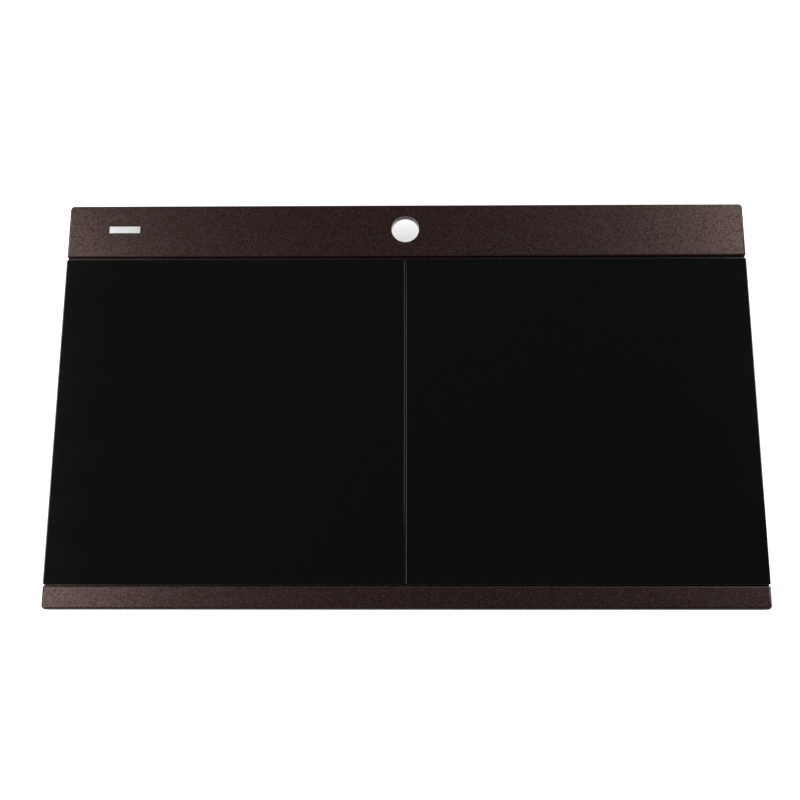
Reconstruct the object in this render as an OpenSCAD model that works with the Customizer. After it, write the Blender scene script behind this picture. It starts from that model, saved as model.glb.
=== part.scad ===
// Inset composite sink with two equal bowls and two sliding glass covers.
// Millimetres. The origin is the centre of the rim's underside, where the sink rests on its worktop.
// +X is to the right, -Y to the front and +Z up.

/* [Rim] */
// Width over the rim, left to right
sink_w = 860; // [800:1:960]
// Depth over the rim, front to back
sink_d = 510; // [490:1:560]
// Height of the deck and the front rail above the worktop
rim_h = 15; // [13:0.5:20]
// Radius of the rim's corners, seen from above
rim_corner_r = 5; // [4:0.5:10]
// Rounding of the rim's top outer edges
rim_edge_r = 3; // [1:0.5:4]
// How far the rim laps over the worktop outside the cut-out
rim_lap = 10; // [9:0.5:12]
// Thickness of the worktop that the clips grip
worktop_t = 38; // [30:1:42]

/* [Deck and rail] */
// Depth of the raised rear deck
deck_d = 68; // [64:1:90]
// Depth of the raised front rail
rail_d = 26; // [24:1:36]
// Rounding of the deck's and the rail's edges along the channel
arris_r = 1.5; // [0.5:0.5:2.5]
// Depth of the hollow under the deck
hollow_h = 4; // [3:0.5:6]
// Solid band left between the hollow and the edge of the worktop's cut-out
hollow_band = 2; // [1:0.5:4]

/* [Tap hole] */
// Radius of the tap hole
tap_r = 17.5; // [14:0.5:19]
// Distance from the rear edge to the tap hole's centre
tap_inset = 33; // [28:1:36]
// Chamfer at the top of the tap hole
tap_chamfer = 0.8; // [0.4:0.1:1.5]

/* [Badge plate] */
// Length of the blank badge plate
badge_w = 39; // [30:1:60]
// Height of the blank badge plate, seen from above
badge_d = 9; // [7:0.5:14]
// Thickness of the badge plate
badge_t = 0.8; // [0.6:0.1:1.2]
// Depth of the recess that holds the plate
badge_recess = 0.5; // [0.3:0.1:0.6]
// Distance from the sink's left end to the plate's centre
badge_inset = 72; // [50:1:120]
// Gap between the plate and the wall of its recess
badge_gap = 0.4; // [0.2:0.1:0.6]

/* [Rim seal] */
// Width of the sealing strip
seal_w = 4.5; // [3:0.5:5]
// Thickness of the sealing strip, pressed flush with the rim
seal_t = 1.6; // [1:0.1:2.5]
// Gap between the strip and the walls of its groove
seal_gap = 0.2; // [0.1:0.05:0.3]

/* [Bowls] */
// Depth of a bowl below the channel
bowl_depth = 200; // [160:1:230]
// Thickness of a bowl's walls
wall_t = 9; // [7:0.5:11]
// Thickness of a bowl's floor
floor_t = 10; // [8:0.5:14]
// Width of the divider between the bowls
divider_w = 30; // [26:1:50]
// Land left at each end of the channel, outside a bowl
side_land = 35; // [30:1:60]
// Land left along the front of a bowl
front_land = 22; // [21:1:32]
// Land left along the rear of a bowl
rear_land = 22; // [21:1:32]
// Radius of a bowl's upright corners
bowl_corner_r = 60; // [45:1:80]
// Radius between a bowl's walls and its floor
bowl_floor_r = 38; // [20:1:44]

/* [Glass covers] */
// Thickness of the glass
glass_t = 6; // [5:0.5:8]
// Gap between the glass and the rail
glass_gap_front = 3; // [3:0.5:8]
// Gap between the glass and the deck
glass_gap_rear = 5.5; // [3:0.5:8]
// Gap between the two covers
glass_seam = 1.5; // [0.8:0.1:4]
// Distance from a cover's outer edge to the rim's end
glass_end_inset = 0.25; // [0:0.25:4]
// Radius of a cover's corners, seen from above
glass_corner_r = 2; // [1:0.5:6]
// Ground edge of the glass
glass_arris = 0.7; // [0.4:0.1:1.2]
// Radius of a pad under the glass
pad_r = 5; // [4:0.5:6]
// Thickness of a pad, which lifts the glass off the channel
pad_t = 1; // [0.8:0.1:1.5]
// Distance from the glass's front or rear edge to a pad
pad_edge = 2; // [1:0.5:3]
// Distance from the glass's side edge to a pad's centre
pad_end = 26; // [15:1:40]

/* [Strainer] */
// Radius of the drain hole through a bowl's floor
drain_r = 45; // [44:0.5:46]
// Distance from a bowl's centre back to its drain
drain_back = 60; // [0:1:70]
// Radius of the strainer's flange
flange_r = 57; // [54:0.5:60]
// Thickness of the strainer's flange
flange_t = 2; // [1.5:0.1:3]
// Gap between the flange and the wall of its recess
flange_gap = 1; // [0.5:0.1:2]
// Outer radius of the strainer's cup
cup_r = 42.5; // [41:0.5:43.5]
// Wall of the cup
cup_t = 1.6; // [1.2:0.1:2]
// Depth of the cup below the flange
cup_depth = 46; // [42:1:52]
// Thickness of the cup's floor
cup_floor_t = 2.5; // [2:0.1:4]
// Radius of the hole that guides the basket's post
guide_r = 4.5; // [4.4:0.1:5]
// Number of drain holes in the cup's floor
cup_holes = 6; // [4:1:6]
// Radius of a drain hole in the cup's floor
cup_hole_r = 4.6; // [3:0.1:4.8]
// Distance from the cup's centre to a drain hole's centre
cup_hole_at = 13; // [12.5:0.1:14]
// Outer radius of the threaded neck under the cup
neck_r = 22.5; // [22:0.1:23.5]
// Wall of the neck
neck_t = 2.6; // [2:0.1:3]
// Length of the neck
neck_l = 16; // [14:1:22]

/* [Washers and locknut] */
// Thickness of the gasket under the strainer's flange
gasket_t = 1; // [0.8:0.1:2]
// Thickness of the rubber washer under the bowl
rubber_t = 3; // [2:0.5:5]
// Thickness of the fibre washer under the rubber one
fibre_t = 1.5; // [1:0.1:2]
// Outer radius of the rubber washer
washer_r = 56; // [54:0.5:58]
// Gap between the washers and the cup
washer_gap = 0.5; // [0.3:0.1:1]
// Outer radius of the locknut's ring
locknut_r = 52; // [50:0.5:53]
// Thickness of the locknut
locknut_t = 10; // [8:0.5:14]
// Number of lugs round the locknut
locknut_lugs = 6; // [4:1:8]
// Width of a locknut lug
lug_w = 9; // [6:0.5:12]
// Radius that the lugs reach
lug_r = 58; // [55:0.5:60]
// Radial gap in a thread that is drawn plain
thread_gap = 0.05; // [0.02:0.01:0.1]

/* [Basket] */
// Outer radius of the basket's wall
basket_r = 33; // [30:0.5:35]
// Thickness of the basket's sheet
basket_t = 1; // [0.8:0.1:1.4]
// Radius of the basket's lip
lip_r = 39.5; // [38:0.1:39.6]
// How far the lip lies below the bowl's floor
lip_below = 4; // [3:0.5:8]
// Number of slots round the basket's wall
slots = 16; // [12:1:20]
// Width of a slot
slot_w = 2.6; // [2:0.1:3.2]
// Distance from a slot's ends to the basket's floor and lip
slot_end = 7; // [5:0.5:9]
// Number of holes in each ring in the basket's floor
floor_holes = 14; // [10:1:16]
// Radius of a hole in the basket's floor
floor_hole_r = 1.7; // [1.2:0.1:2]
// Radius of the inner ring of holes
inner_ring_r = 17; // [15:0.5:18]
// Radius of the outer ring of holes
outer_ring_r = 27; // [26.5:0.1:27.5]
// Radius of the rubber stopper under the basket
stopper_r = 24; // [21:0.5:25]
// Thickness of the stopper
stopper_t = 5; // [4:0.5:7]
// Radius of the basket's post
post_r = 4.2; // [3.8:0.1:4.2]
// How far the post reaches down through its guide
post_down = 4; // [3:0.5:8]
// Radius of the post's collar on the basket's floor
collar_r = 8; // [6:0.5:10]
// Thickness of the collar
collar_t = 2; // [1.5:0.5:4]
// Radius of the knob
knob_r = 11; // [9:0.5:14]
// Height of the knob
knob_h = 9; // [8:0.5:12]
// How far the knob stands above the bowl's floor
knob_above = 7; // [3:0.5:10]
// Radial gap where the post passes through the basket and the stopper
post_gap = 0.05; // [0.02:0.01:0.1]

/* [Tailpiece] */
// Outer radius of the tailpiece, a 1 1/2 inch tube
tail_r = 19.05; // [18.5:0.05:19.2]
// Wall of the tailpiece
tail_t = 1.2; // [0.8:0.1:1.6]
// Length of the tailpiece
tail_l = 100; // [60:1:150]
// Thickness of the tailpiece's flange
tail_flange_t = 1.5; // [1:0.1:2.5]
// Thickness of the washer above the flange
tail_washer_t = 2; // [1.5:0.1:3]
// How much thicker the tube is inside the nut, at the flange's root
tail_root_t = 0.2; // [0.1:0.05:0.3]
// Gap between the tailpiece and the nut
tail_gap = 0.3; // [0.2:0.05:0.5]
// Length of thread that the coupling nut covers
nut_grip = 12; // [9:0.5:13]
// Radius over the corners of the coupling nut
nut_r = 29; // [27.5:0.5:32]
// Thickness of the nut's lip under the flange
nut_lip_t = 2.5; // [2:0.1:4]

/* [Clips] */
// Distance from the edge of the worktop's cut-out in to a clip's screw
clip_inset = 15; // [13:0.5:16]
// Distance from the rim's end to the outer clips
clip_end = 105; // [80:1:140]
// Distance from the sink's middle to the inner clips
clip_mid = 115; // [90:1:150]
// Radius of the boss that holds a clip's insert
boss_r = 8; // [7:0.5:9]
// How far a boss stands below the rim
boss_h = 14; // [12.5:0.5:18]
// Thickness of the rib between a front boss and its bowl
rib_t = 5; // [4:0.5:6]
// Radius of a threaded insert
insert_r = 3.8; // [3.4:0.1:4.2]
// Length of a threaded insert
insert_l = 10; // [8:0.5:11]
// Depth of the boss's hole beyond its insert
insert_spare = 1; // [0.5:0.5:2]
// Radius of a clip's screw, M5
screw_r = 2.5; // [2:0.1:2.7]
// How far a screw's end stays below the top of its insert
screw_short = 1; // [0.5:0.5:3]
// Radius of the screw's head
head_r = 5; // [4.5:0.1:6]
// Height of the screw's head
head_h = 4; // [3:0.5:5]
// Radius over the corners of the screw's hexagon socket
socket_r = 2.3; // [1.8:0.1:2.5]
// Running clearance between a clip and its screw
clip_fit = 0.08; // [0.05:0.01:0.1]
// Radius of a clip's hub
hub_r = 6.5; // [5.5:0.5:7.5]
// Free space between a clip's hub and its boss
hub_gap = 4; // [2:0.5:6]
// Length of a clip's arm from its screw
arm_l = 27; // [24:0.5:32]
// Width of a clip's arm
arm_w = 12; // [9:0.5:13]
// Thickness of a clip's arm
arm_t = 5; // [4:0.5:7]
// Height of the tooth at the arm's end
tooth_h = 2; // [1:0.5:3]
// Length of the tooth along the arm
tooth_l = 5; // [3:0.5:7]
// Thickness of the gusset between the hub and the arm
gusset_t = 4; // [3:0.5:6]

/* [Hidden] */
$fn = 96;

LEFT = -1;
RIGHT = 1;
// cuts run this far past the faces that they open
past = 1;

half_w = sink_w / 2;
half_d = sink_d / 2;
channel_front = -half_d + rail_d;
channel_rear = half_d - deck_d;
channel_z = rim_h - glass_t - pad_t;

bowl_w = half_w - side_land - divider_w / 2;
bowl_front = channel_front + front_land;
bowl_rear = channel_rear - rear_land;
bowl_d = bowl_rear - bowl_front;
bowl_x = divider_w / 2 + bowl_w / 2;
bowl_y = (bowl_front + bowl_rear) / 2;
bowl_floor_z = channel_z - bowl_depth;
bowl_under_z = bowl_floor_z - floor_t;

tap_y = half_d - tap_inset;
// The sealing strip's groove runs along the middle of the lap
groove_w = seal_w + 2 * seal_gap;
groove_inset = (rim_lap - groove_w) / 2;
badge_x = -half_w + badge_inset;

glass_outer_x = half_w - glass_end_inset;
glass_inner_x = glass_seam / 2;
glass_w = glass_outer_x - glass_inner_x;
glass_x = (glass_outer_x + glass_inner_x) / 2;
glass_front = channel_front + glass_gap_front;
glass_rear = channel_rear - glass_gap_rear;
glass_d = glass_rear - glass_front;
glass_y = (glass_front + glass_rear) / 2;
glass_z = channel_z + pad_t;

drain_y = bowl_y + drain_back;
seat_z = bowl_floor_z - flange_t - gasket_t;
flange_z = seat_z + gasket_t;
cup_ri = cup_r - cup_t;
cup_z = flange_z - cup_depth;
cup_floor_z = cup_z + cup_floor_t;
neck_z = cup_z - neck_l;
fibre_z = bowl_under_z - rubber_t;
locknut_z = fibre_z - fibre_t - locknut_t;

basket_z = cup_floor_z + stopper_t;
lip_z = bowl_floor_z - lip_below;
knob_z = bowl_floor_z + knob_above - knob_h;

tail_flange_z = neck_z - tail_washer_t - tail_flange_t;
tail_z = neck_z - tail_washer_t - tail_l;
tail_flange_r = neck_r - tail_gap;
nut_z = tail_flange_z - nut_lip_t;
tail_root_r = tail_r + tail_root_t;

screw_top_z = -boss_h + insert_l - screw_short;
arm_z = -worktop_t - tooth_h - arm_t;
hub_top_z = -boss_h - hub_gap;
clip_y = half_d - rim_lap - clip_inset;
clip_xs = [-half_w + clip_end, -clip_mid, clip_mid, half_w - clip_end];

// A rectangle with round corners, centred
module round_rect(w, d, r) {
    square([w - 2 * r, d], center = true);
    square([w, d - 2 * r], center = true);
    for (sx = [-1, 1], sy = [-1, 1])
        translate([sx * (w / 2 - r), sy * (d / 2 - r)])
            circle(r);
}

// A band from a to b, standing on the axis, with round top corners of radius ra at a and rb at b
module round_top(a, b, h, ra, rb) {
    mid = (a + b) / 2;
    translate([a, 0])
        square([mid - a, h - ra]);
    translate([mid, 0])
        square([b - mid, h - rb]);
    translate([a + ra, 0])
        square([b - a - ra - rb, h]);
    translate([a + ra, h - ra])
        circle(ra);
    translate([b - rb, h - rb])
        circle(rb);
}

// A ring standing on z = 0
module ring(r_out, r_in, h) {
    difference() {
        cylinder(r = r_out, h = h);
        translate([0, 0, -past])
            cylinder(r = r_in, h = h + 2 * past);
    }
}

// A 2D outline in X and Z, drawn out along Y and centred
module along_y(length) {
    rotate([90, 0, 0])
        linear_extrude(length, center = true)
            children();
}

// A 2D outline in Y and Z, drawn out along X and centred
module along_x(length) {
    rotate([90, 0, 90])
        linear_extrude(length, center = true)
            children();
}

// One corner of a bowl: an upright corner of radius corner_r whose lower edge is rounded by edge_r
module bowl_corner(corner_r, edge_r) {
    rotate_extrude() {
        square([corner_r - edge_r, edge_r]);
        intersection() {
            translate([corner_r - edge_r, edge_r])
                circle(edge_r);
            translate([corner_r - edge_r, 0])
                square(edge_r);
        }
    }
}

// A bowl's form, centred in plan, standing on z = 0, with upright walls and a rounded floor edge
module bowl_form(w, d, h, corner_r, edge_r) {
    translate([0, 0, edge_r])
        linear_extrude(h - edge_r)
            round_rect(w, d, corner_r);
    for (sx = [-1, 1], sy = [-1, 1])
        translate([sx * (w / 2 - corner_r), sy * (d / 2 - corner_r), 0])
            bowl_corner(corner_r, edge_r);
    intersection() {
        union() {
            for (sy = [-1, 1])
                translate([0, sy * (d / 2 - edge_r), edge_r])
                    rotate([0, 90, 0])
                        cylinder(r = edge_r, h = w - 2 * corner_r, center = true);
            for (sx = [-1, 1])
                translate([sx * (w / 2 - edge_r), 0, edge_r])
                    rotate([90, 0, 0])
                        cylinder(r = edge_r, h = d - 2 * corner_r, center = true);
            translate([0, 0, edge_r / 2])
                cube([w - 2 * corner_r, d - 2 * edge_r, edge_r], center = true);
            translate([0, 0, edge_r / 2])
                cube([w - 2 * edge_r, d - 2 * corner_r, edge_r], center = true);
        }
        translate([0, 0, edge_r / 2])
            cube([w + past, d + past, edge_r], center = true);
    }
}

module at_bowl(side) {
    translate([side * bowl_x, bowl_y, 0])
        children();
}

module at_drain(side, z) {
    translate([side * bowl_x, drain_y, z])
        children();
}

// The rim: a slab with the deck, the channel and the rail across it, and round top edges and corners
module rim_slab() {
    intersection() {
        linear_extrude(rim_h)
            round_rect(sink_w, sink_d, rim_corner_r);
        along_y(sink_d)
            round_top(-half_w, half_w, rim_h, rim_edge_r, rim_edge_r);
        along_x(sink_w) {
            translate([-half_d, 0])
                square([sink_d, channel_z]);
            round_top(-half_d, channel_front, rim_h, rim_edge_r, arris_r);
            round_top(channel_rear, half_d, rim_h, arris_r, rim_edge_r);
        }
    }
}

// The hollow under the deck, which keeps its thickness near that of the walls
module deck_hollow() {
    front = bowl_rear + 2 * wall_t;
    rear = half_d - rim_lap - hollow_band;
    translate([0, (front + rear) / 2, -past])
        linear_extrude(hollow_h + past)
            round_rect(sink_w - 2 * side_land, rear - front, boss_r);
}

module clip_boss(i) {
    height = boss_h + hollow_h + past;
    translate([clip_xs[i % 4], clip_side(i) * clip_y, -boss_h])
        cylinder(r = boss_r, h = height);
}

// A rib carries each front boss back to its bowl
module boss_rib(i) {
    reach = clip_y + bowl_front - wall_t / 2;
    translate([clip_xs[i] - rib_t / 2, -clip_y, -boss_h + boss_r / 2])
        cube([rib_t, reach, boss_h - boss_r / 2 + past]);
}

function clip_side(i) = i < 4 ? -1 : 1;

module sink_body() {
    color([0.25, 0.19, 0.18])
        difference() {
            union() {
                difference() {
                    rim_slab();
                    deck_hollow();
                }
                for (side = [LEFT, RIGHT])
                    at_bowl(side)
                        translate([0, 0, bowl_under_z])
                            bowl_form(bowl_w + 2 * wall_t, bowl_d + 2 * wall_t, channel_z / 2 - bowl_under_z,
                                bowl_corner_r + wall_t, bowl_floor_r + wall_t);
                for (i = [0 : 7])
                    clip_boss(i);
                for (i = [0 : 3])
                    boss_rib(i);
            }
            for (side = [LEFT, RIGHT]) {
                at_bowl(side)
                    translate([0, 0, bowl_floor_z])
                        bowl_form(bowl_w, bowl_d, bowl_depth + past, bowl_corner_r, bowl_floor_r);
                at_drain(side, bowl_under_z - past)
                    cylinder(r = drain_r, h = floor_t + 2 * past);
                at_drain(side, seat_z)
                    cylinder(r = flange_r + flange_gap, h = bowl_floor_z - seat_z + past);
            }
            tap_hole_cut();
            badge_cut();
            seal_cut();
            for (i = [0 : 7])
                translate([clip_xs[i % 4], clip_side(i) * clip_y, -boss_h - past])
                    cylinder(r = insert_r + thread_gap, h = past + insert_l + insert_spare);
        }
}

module tap_hole_cut() {
    translate([0, tap_y, -past])
        cylinder(r = tap_r, h = rim_h + 2 * past);
    translate([0, tap_y, rim_h - tap_chamfer])
        cylinder(r1 = tap_r, r2 = tap_r + tap_chamfer + past, h = tap_chamfer + past);
}

module badge_cut() {
    translate([badge_x, tap_y, rim_h - badge_recess])
        linear_extrude(badge_recess + past)
            round_rect(badge_w + 2 * badge_gap, badge_d + 2 * badge_gap, 2 * badge_gap);
}

// A frame in the rim's outline, from inset to inset + w inside its edge
module rim_frame(inset, w) {
    corner = max(rim_corner_r - inset, w / 4);
    difference() {
        round_rect(sink_w - 2 * inset, sink_d - 2 * inset, corner);
        round_rect(sink_w - 2 * (inset + w), sink_d - 2 * (inset + w), corner / 2);
    }
}

module seal_cut() {
    translate([0, 0, -past])
        linear_extrude(seal_t + past)
            rim_frame(groove_inset, groove_w);
}

module rim_seal() {
    color([0.1, 0.1, 0.1])
        linear_extrude(seal_t)
            rim_frame(groove_inset + seal_gap, seal_w);
}

module badge_plate() {
    color([0.82, 0.82, 0.82])
        translate([badge_x, tap_y, rim_h - badge_recess])
            linear_extrude(badge_t)
                round_rect(badge_w, badge_d, badge_gap);
}

// A rectangle with its four corners ground off, centred
module ground_rect(w, h, c) {
    a = w / 2;
    b = h / 2;
    polygon([
        [-a + c, -b],
        [a - c, -b],
        [a, -b + c],
        [a, b - c],
        [a - c, b],
        [-a + c, b],
        [-a, b - c],
        [-a, -b + c],
    ]);
}

module glass_cover(side) {
    color([0.02, 0.02, 0.02])
        translate([side * glass_x, glass_y, glass_z + glass_t / 2])
            intersection() {
                linear_extrude(glass_t, center = true)
                    round_rect(glass_w, glass_d, glass_corner_r);
                along_y(glass_d)
                    ground_rect(glass_w, glass_t, glass_arris);
                along_x(glass_w)
                    ground_rect(glass_d, glass_t, glass_arris);
            }
}

module cover_pads(side) {
    pad_xs = [glass_inner_x + pad_end, glass_outer_x - pad_end];
    pad_ys = [glass_front + pad_edge + pad_r, glass_rear - pad_edge - pad_r];
    color([0.12, 0.12, 0.12])
        for (x = pad_xs, y = pad_ys)
            translate([side * x, y, channel_z])
                cylinder(r = pad_r, h = pad_t);
}

// The strainer's flange, cup and threaded neck, in one turned piece
module strainer(side) {
    color([0.72, 0.72, 0.72])
        at_drain(side, 0)
            difference() {
                rotate_extrude() {
                    translate([cup_ri, flange_z])
                        square([flange_r - cup_ri, flange_t]);
                    translate([cup_ri, cup_z])
                        square([cup_t, cup_depth + flange_t / 2]);
                    translate([0, cup_z])
                        square([cup_r, cup_floor_t]);
                    translate([neck_r - neck_t, neck_z])
                        square([neck_t, neck_l + cup_floor_t / 2]);
                }
                translate([0, 0, cup_z - past])
                    cylinder(r = guide_r, h = cup_floor_t + 2 * past);
                for (i = [0 : cup_holes - 1])
                    rotate(i * 360 / cup_holes)
                        translate([cup_hole_at, 0, cup_z - past])
                            cylinder(r = cup_hole_r, h = cup_floor_t + 2 * past);
                translate([0, 0, bowl_floor_z - flange_t / 2])
                    cylinder(r1 = cup_ri, r2 = cup_ri + flange_t / 2 + past, h = flange_t / 2 + past);
            }
}

module seat_gasket(side) {
    color([0.1, 0.1, 0.1])
        at_drain(side, seat_z)
            ring(flange_r - flange_gap, cup_r + washer_gap, gasket_t);
}

module rubber_washer(side) {
    color([0.1, 0.1, 0.1])
        at_drain(side, fibre_z)
            ring(washer_r, cup_r + washer_gap, rubber_t);
}

module fibre_washer(side) {
    color([0.6, 0.4, 0.25])
        at_drain(side, fibre_z - fibre_t)
            ring(washer_r, cup_r + washer_gap, fibre_t);
}

module locknut(side) {
    color([0.6, 0.6, 0.6])
        at_drain(side, locknut_z)
            difference() {
                union() {
                    cylinder(r = locknut_r, h = locknut_t);
                    for (i = [0 : locknut_lugs - 1])
                        rotate(i * 360 / locknut_lugs)
                            translate([0, -lug_w / 2, 0])
                                cube([lug_r, lug_w, locknut_t]);
                }
                translate([0, 0, -past])
                    cylinder(r = cup_r + thread_gap, h = locknut_t + 2 * past);
            }
}

// The lift-out basket: a floor with two rings of holes, a slotted wall and a lip
module basket(side) {
    wall_h = lip_z - basket_z;
    color([0.75, 0.75, 0.75])
        at_drain(side, basket_z)
            difference() {
                union() {
                    cylinder(r = basket_r, h = basket_t);
                    ring(basket_r, basket_r - basket_t, wall_h);
                    translate([0, 0, wall_h - basket_t])
                        ring(lip_r, basket_r - basket_t, basket_t);
                }
                translate([0, 0, -past])
                    cylinder(r = post_r + post_gap, h = basket_t + 2 * past);
                for (i = [0 : slots - 1])
                    rotate(i * 360 / slots)
                        translate([basket_r - 2 * basket_t, -slot_w / 2, slot_end])
                            cube([3 * basket_t, slot_w, wall_h - 2 * slot_end]);
                for (i = [0 : floor_holes - 1], at = [inner_ring_r, outer_ring_r])
                    rotate((i + 0.5) * 360 / floor_holes)
                        translate([at, 0, -past])
                            cylinder(r = floor_hole_r, h = basket_t + 2 * past);
            }
}

// The basket's post runs from its guide in the cup up to the knob
module basket_knob(side) {
    color([0.78, 0.78, 0.78])
        at_drain(side, 0)
            rotate_extrude() {
                translate([0, cup_z - post_down])
                    square([post_r, knob_z - cup_z + post_down]);
                translate([0, basket_z + basket_t])
                    square([collar_r, collar_t]);
                translate([0, knob_z + knob_h / 3])
                    square([knob_r, knob_h / 3]);
                polygon([
                    [0, knob_z],
                    [post_r, knob_z],
                    [knob_r, knob_z + knob_h / 3],
                    [0, knob_z + knob_h / 3],
                ]);
                polygon([
                    [0, knob_z + 2 * knob_h / 3],
                    [knob_r, knob_z + 2 * knob_h / 3],
                    [knob_r - knob_h / 3, knob_z + knob_h],
                    [0, knob_z + knob_h],
                ]);
            }
}

module basket_stopper(side) {
    color([0.12, 0.12, 0.12])
        at_drain(side, cup_floor_z)
            ring(stopper_r, post_r + post_gap, stopper_t);
}

module tailpiece(side) {
    color([0.8, 0.8, 0.8])
        at_drain(side, 0) {
            translate([0, 0, tail_z])
                ring(tail_r, tail_r - tail_t, tail_l);
            translate([0, 0, nut_z - past])
                ring(tail_root_r, tail_r - tail_t, tail_flange_z - nut_z + past);
            translate([0, 0, tail_flange_z])
                ring(tail_flange_r, tail_r - tail_t, tail_flange_t);
        }
}

module tailpiece_washer(side) {
    color([0.95, 0.95, 0.93])
        at_drain(side, neck_z - tail_washer_t)
            ring(tail_flange_r, tail_root_r + tail_gap, tail_washer_t);
}

// The coupling nut screws onto the neck and draws the tailpiece's flange up against its washer
module coupling_nut(side) {
    height = neck_z + nut_grip - nut_z;
    color([0.8, 0.8, 0.8])
        at_drain(side, nut_z)
            difference() {
                linear_extrude(height)
                    circle(nut_r, $fn = 8);
                translate([0, 0, -past])
                    cylinder(r = tail_root_r + tail_gap, h = height);
                translate([0, 0, nut_lip_t])
                    cylinder(r = neck_r + thread_gap, h = height);
            }
}

// A turning clip, drawn with its arm along +X from its screw
module clip_arm() {
    gusset_top = hub_top_z - hub_gap;
    difference() {
        union() {
            translate([0, 0, arm_z])
                cylinder(r = hub_r, h = hub_top_z - arm_z);
            translate([0, -arm_w / 2, arm_z])
                cube([arm_l, arm_w, arm_t]);
            translate([arm_l - tooth_l, -arm_w / 2, arm_z + arm_t / 2])
                cube([tooth_l, arm_w, arm_t / 2 + tooth_h]);
            along_y(gusset_t)
                polygon([
                    [0, arm_z + arm_t / 2],
                    [arm_l - 2 * tooth_l, arm_z + arm_t],
                    [hub_r, gusset_top],
                    [0, gusset_top],
                ]);
        }
        translate([0, 0, arm_z - past])
            cylinder(r = screw_r + clip_fit, h = hub_top_z - arm_z + 2 * past);
    }
}

// Clips 1 to 4 run from left to right along the front, and 5 to 8 along the rear
module clip(number) {
    i = number - 1;
    x = clip_xs[i % 4];
    color([0.62, 0.63, 0.65])
        translate([x, clip_side(i) * clip_y, 0])
            rotate(x < 0 ? 180 : 0)
                clip_arm();
}

module clip_screws() {
    color([0.7, 0.7, 0.7])
        for (i = [0 : 7])
            translate([clip_xs[i % 4], clip_side(i) * clip_y, 0])
                difference() {
                    union() {
                        translate([0, 0, arm_z - head_h])
                            cylinder(r = head_r, h = head_h);
                        translate([0, 0, arm_z - head_h / 2])
                            cylinder(r = screw_r, h = screw_top_z - arm_z + head_h / 2);
                    }
                    translate([0, 0, arm_z - head_h - past])
                        cylinder(r = socket_r, h = head_h * 0.6 + past, $fn = 6);
                }
}

module clip_inserts() {
    color([0.8, 0.65, 0.3])
        for (i = [0 : 7])
            translate([clip_xs[i % 4], clip_side(i) * clip_y, -boss_h])
                ring(insert_r, screw_r + thread_gap, insert_l);
}

sink_body();
rim_seal();
badge_plate();
glass_cover(LEFT);  // left_glass_cover
glass_cover(RIGHT);  // right_glass_cover
cover_pads(LEFT);  // left_cover_pads
cover_pads(RIGHT);  // right_cover_pads
strainer(LEFT);  // left_strainer
strainer(RIGHT);  // right_strainer
seat_gasket(LEFT);  // left_seat_gasket
seat_gasket(RIGHT);  // right_seat_gasket
rubber_washer(LEFT);  // left_rubber_washer
rubber_washer(RIGHT);  // right_rubber_washer
fibre_washer(LEFT);  // left_fibre_washer
fibre_washer(RIGHT);  // right_fibre_washer
locknut(LEFT);  // left_locknut
locknut(RIGHT);  // right_locknut
basket(LEFT);  // left_basket
basket(RIGHT);  // right_basket
basket_knob(LEFT);  // left_basket_knob
basket_knob(RIGHT);  // right_basket_knob
basket_stopper(LEFT);  // left_basket_stopper
basket_stopper(RIGHT);  // right_basket_stopper
tailpiece(LEFT);  // left_tailpiece
tailpiece(RIGHT);  // right_tailpiece
tailpiece_washer(LEFT);  // left_tailpiece_washer
tailpiece_washer(RIGHT);  // right_tailpiece_washer
coupling_nut(LEFT);  // left_coupling_nut
coupling_nut(RIGHT);  // right_coupling_nut
clip(1);  // clip_1
clip(2);  // clip_2
clip(3);  // clip_3
clip(4);  // clip_4
clip(5);  // clip_5
clip(6);  // clip_6
clip(7);  // clip_7
clip(8);  // clip_8
clip_screws();
clip_inserts();
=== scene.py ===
# %% [markdown]
# A kitchen sink in brown composite
#
# The object is an inset kitchen sink. One moulded body of dark brown composite holds two bowls, and two covers of
# black glass lie over them in a channel between the rear deck and the front rail. Below the bowls are the basket
# strainers, their washers and nuts, two tailpieces, and the clips that hold the sink to a worktop. The lesson
# loads the engineering model of all this, lights it like a catalogue photograph, writes a finish for each
# material, and then models each piece again with the soft edges and small details that the plain solids lack.

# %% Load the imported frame
import math

import bmesh
import bpy
from mathutils import Matrix, Vector


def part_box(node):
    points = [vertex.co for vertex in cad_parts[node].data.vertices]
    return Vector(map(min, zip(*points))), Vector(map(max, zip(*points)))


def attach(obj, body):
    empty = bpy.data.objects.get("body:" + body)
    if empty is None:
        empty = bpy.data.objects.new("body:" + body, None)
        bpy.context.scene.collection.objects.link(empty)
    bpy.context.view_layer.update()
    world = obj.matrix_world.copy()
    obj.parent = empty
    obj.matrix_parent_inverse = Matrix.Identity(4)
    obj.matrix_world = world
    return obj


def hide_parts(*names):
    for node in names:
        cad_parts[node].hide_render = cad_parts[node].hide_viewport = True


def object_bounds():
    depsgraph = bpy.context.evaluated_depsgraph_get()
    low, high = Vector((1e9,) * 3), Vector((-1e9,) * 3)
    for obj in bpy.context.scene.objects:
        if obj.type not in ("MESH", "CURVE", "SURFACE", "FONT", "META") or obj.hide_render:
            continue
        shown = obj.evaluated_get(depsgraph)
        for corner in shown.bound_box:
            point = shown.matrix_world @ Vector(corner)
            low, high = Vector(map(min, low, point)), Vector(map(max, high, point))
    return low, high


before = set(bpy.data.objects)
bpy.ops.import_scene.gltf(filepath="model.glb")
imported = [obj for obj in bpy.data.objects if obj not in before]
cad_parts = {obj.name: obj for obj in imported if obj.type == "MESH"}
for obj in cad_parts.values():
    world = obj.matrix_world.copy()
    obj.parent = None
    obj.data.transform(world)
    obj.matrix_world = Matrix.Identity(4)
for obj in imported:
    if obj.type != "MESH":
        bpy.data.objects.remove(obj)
cad_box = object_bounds()

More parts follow.
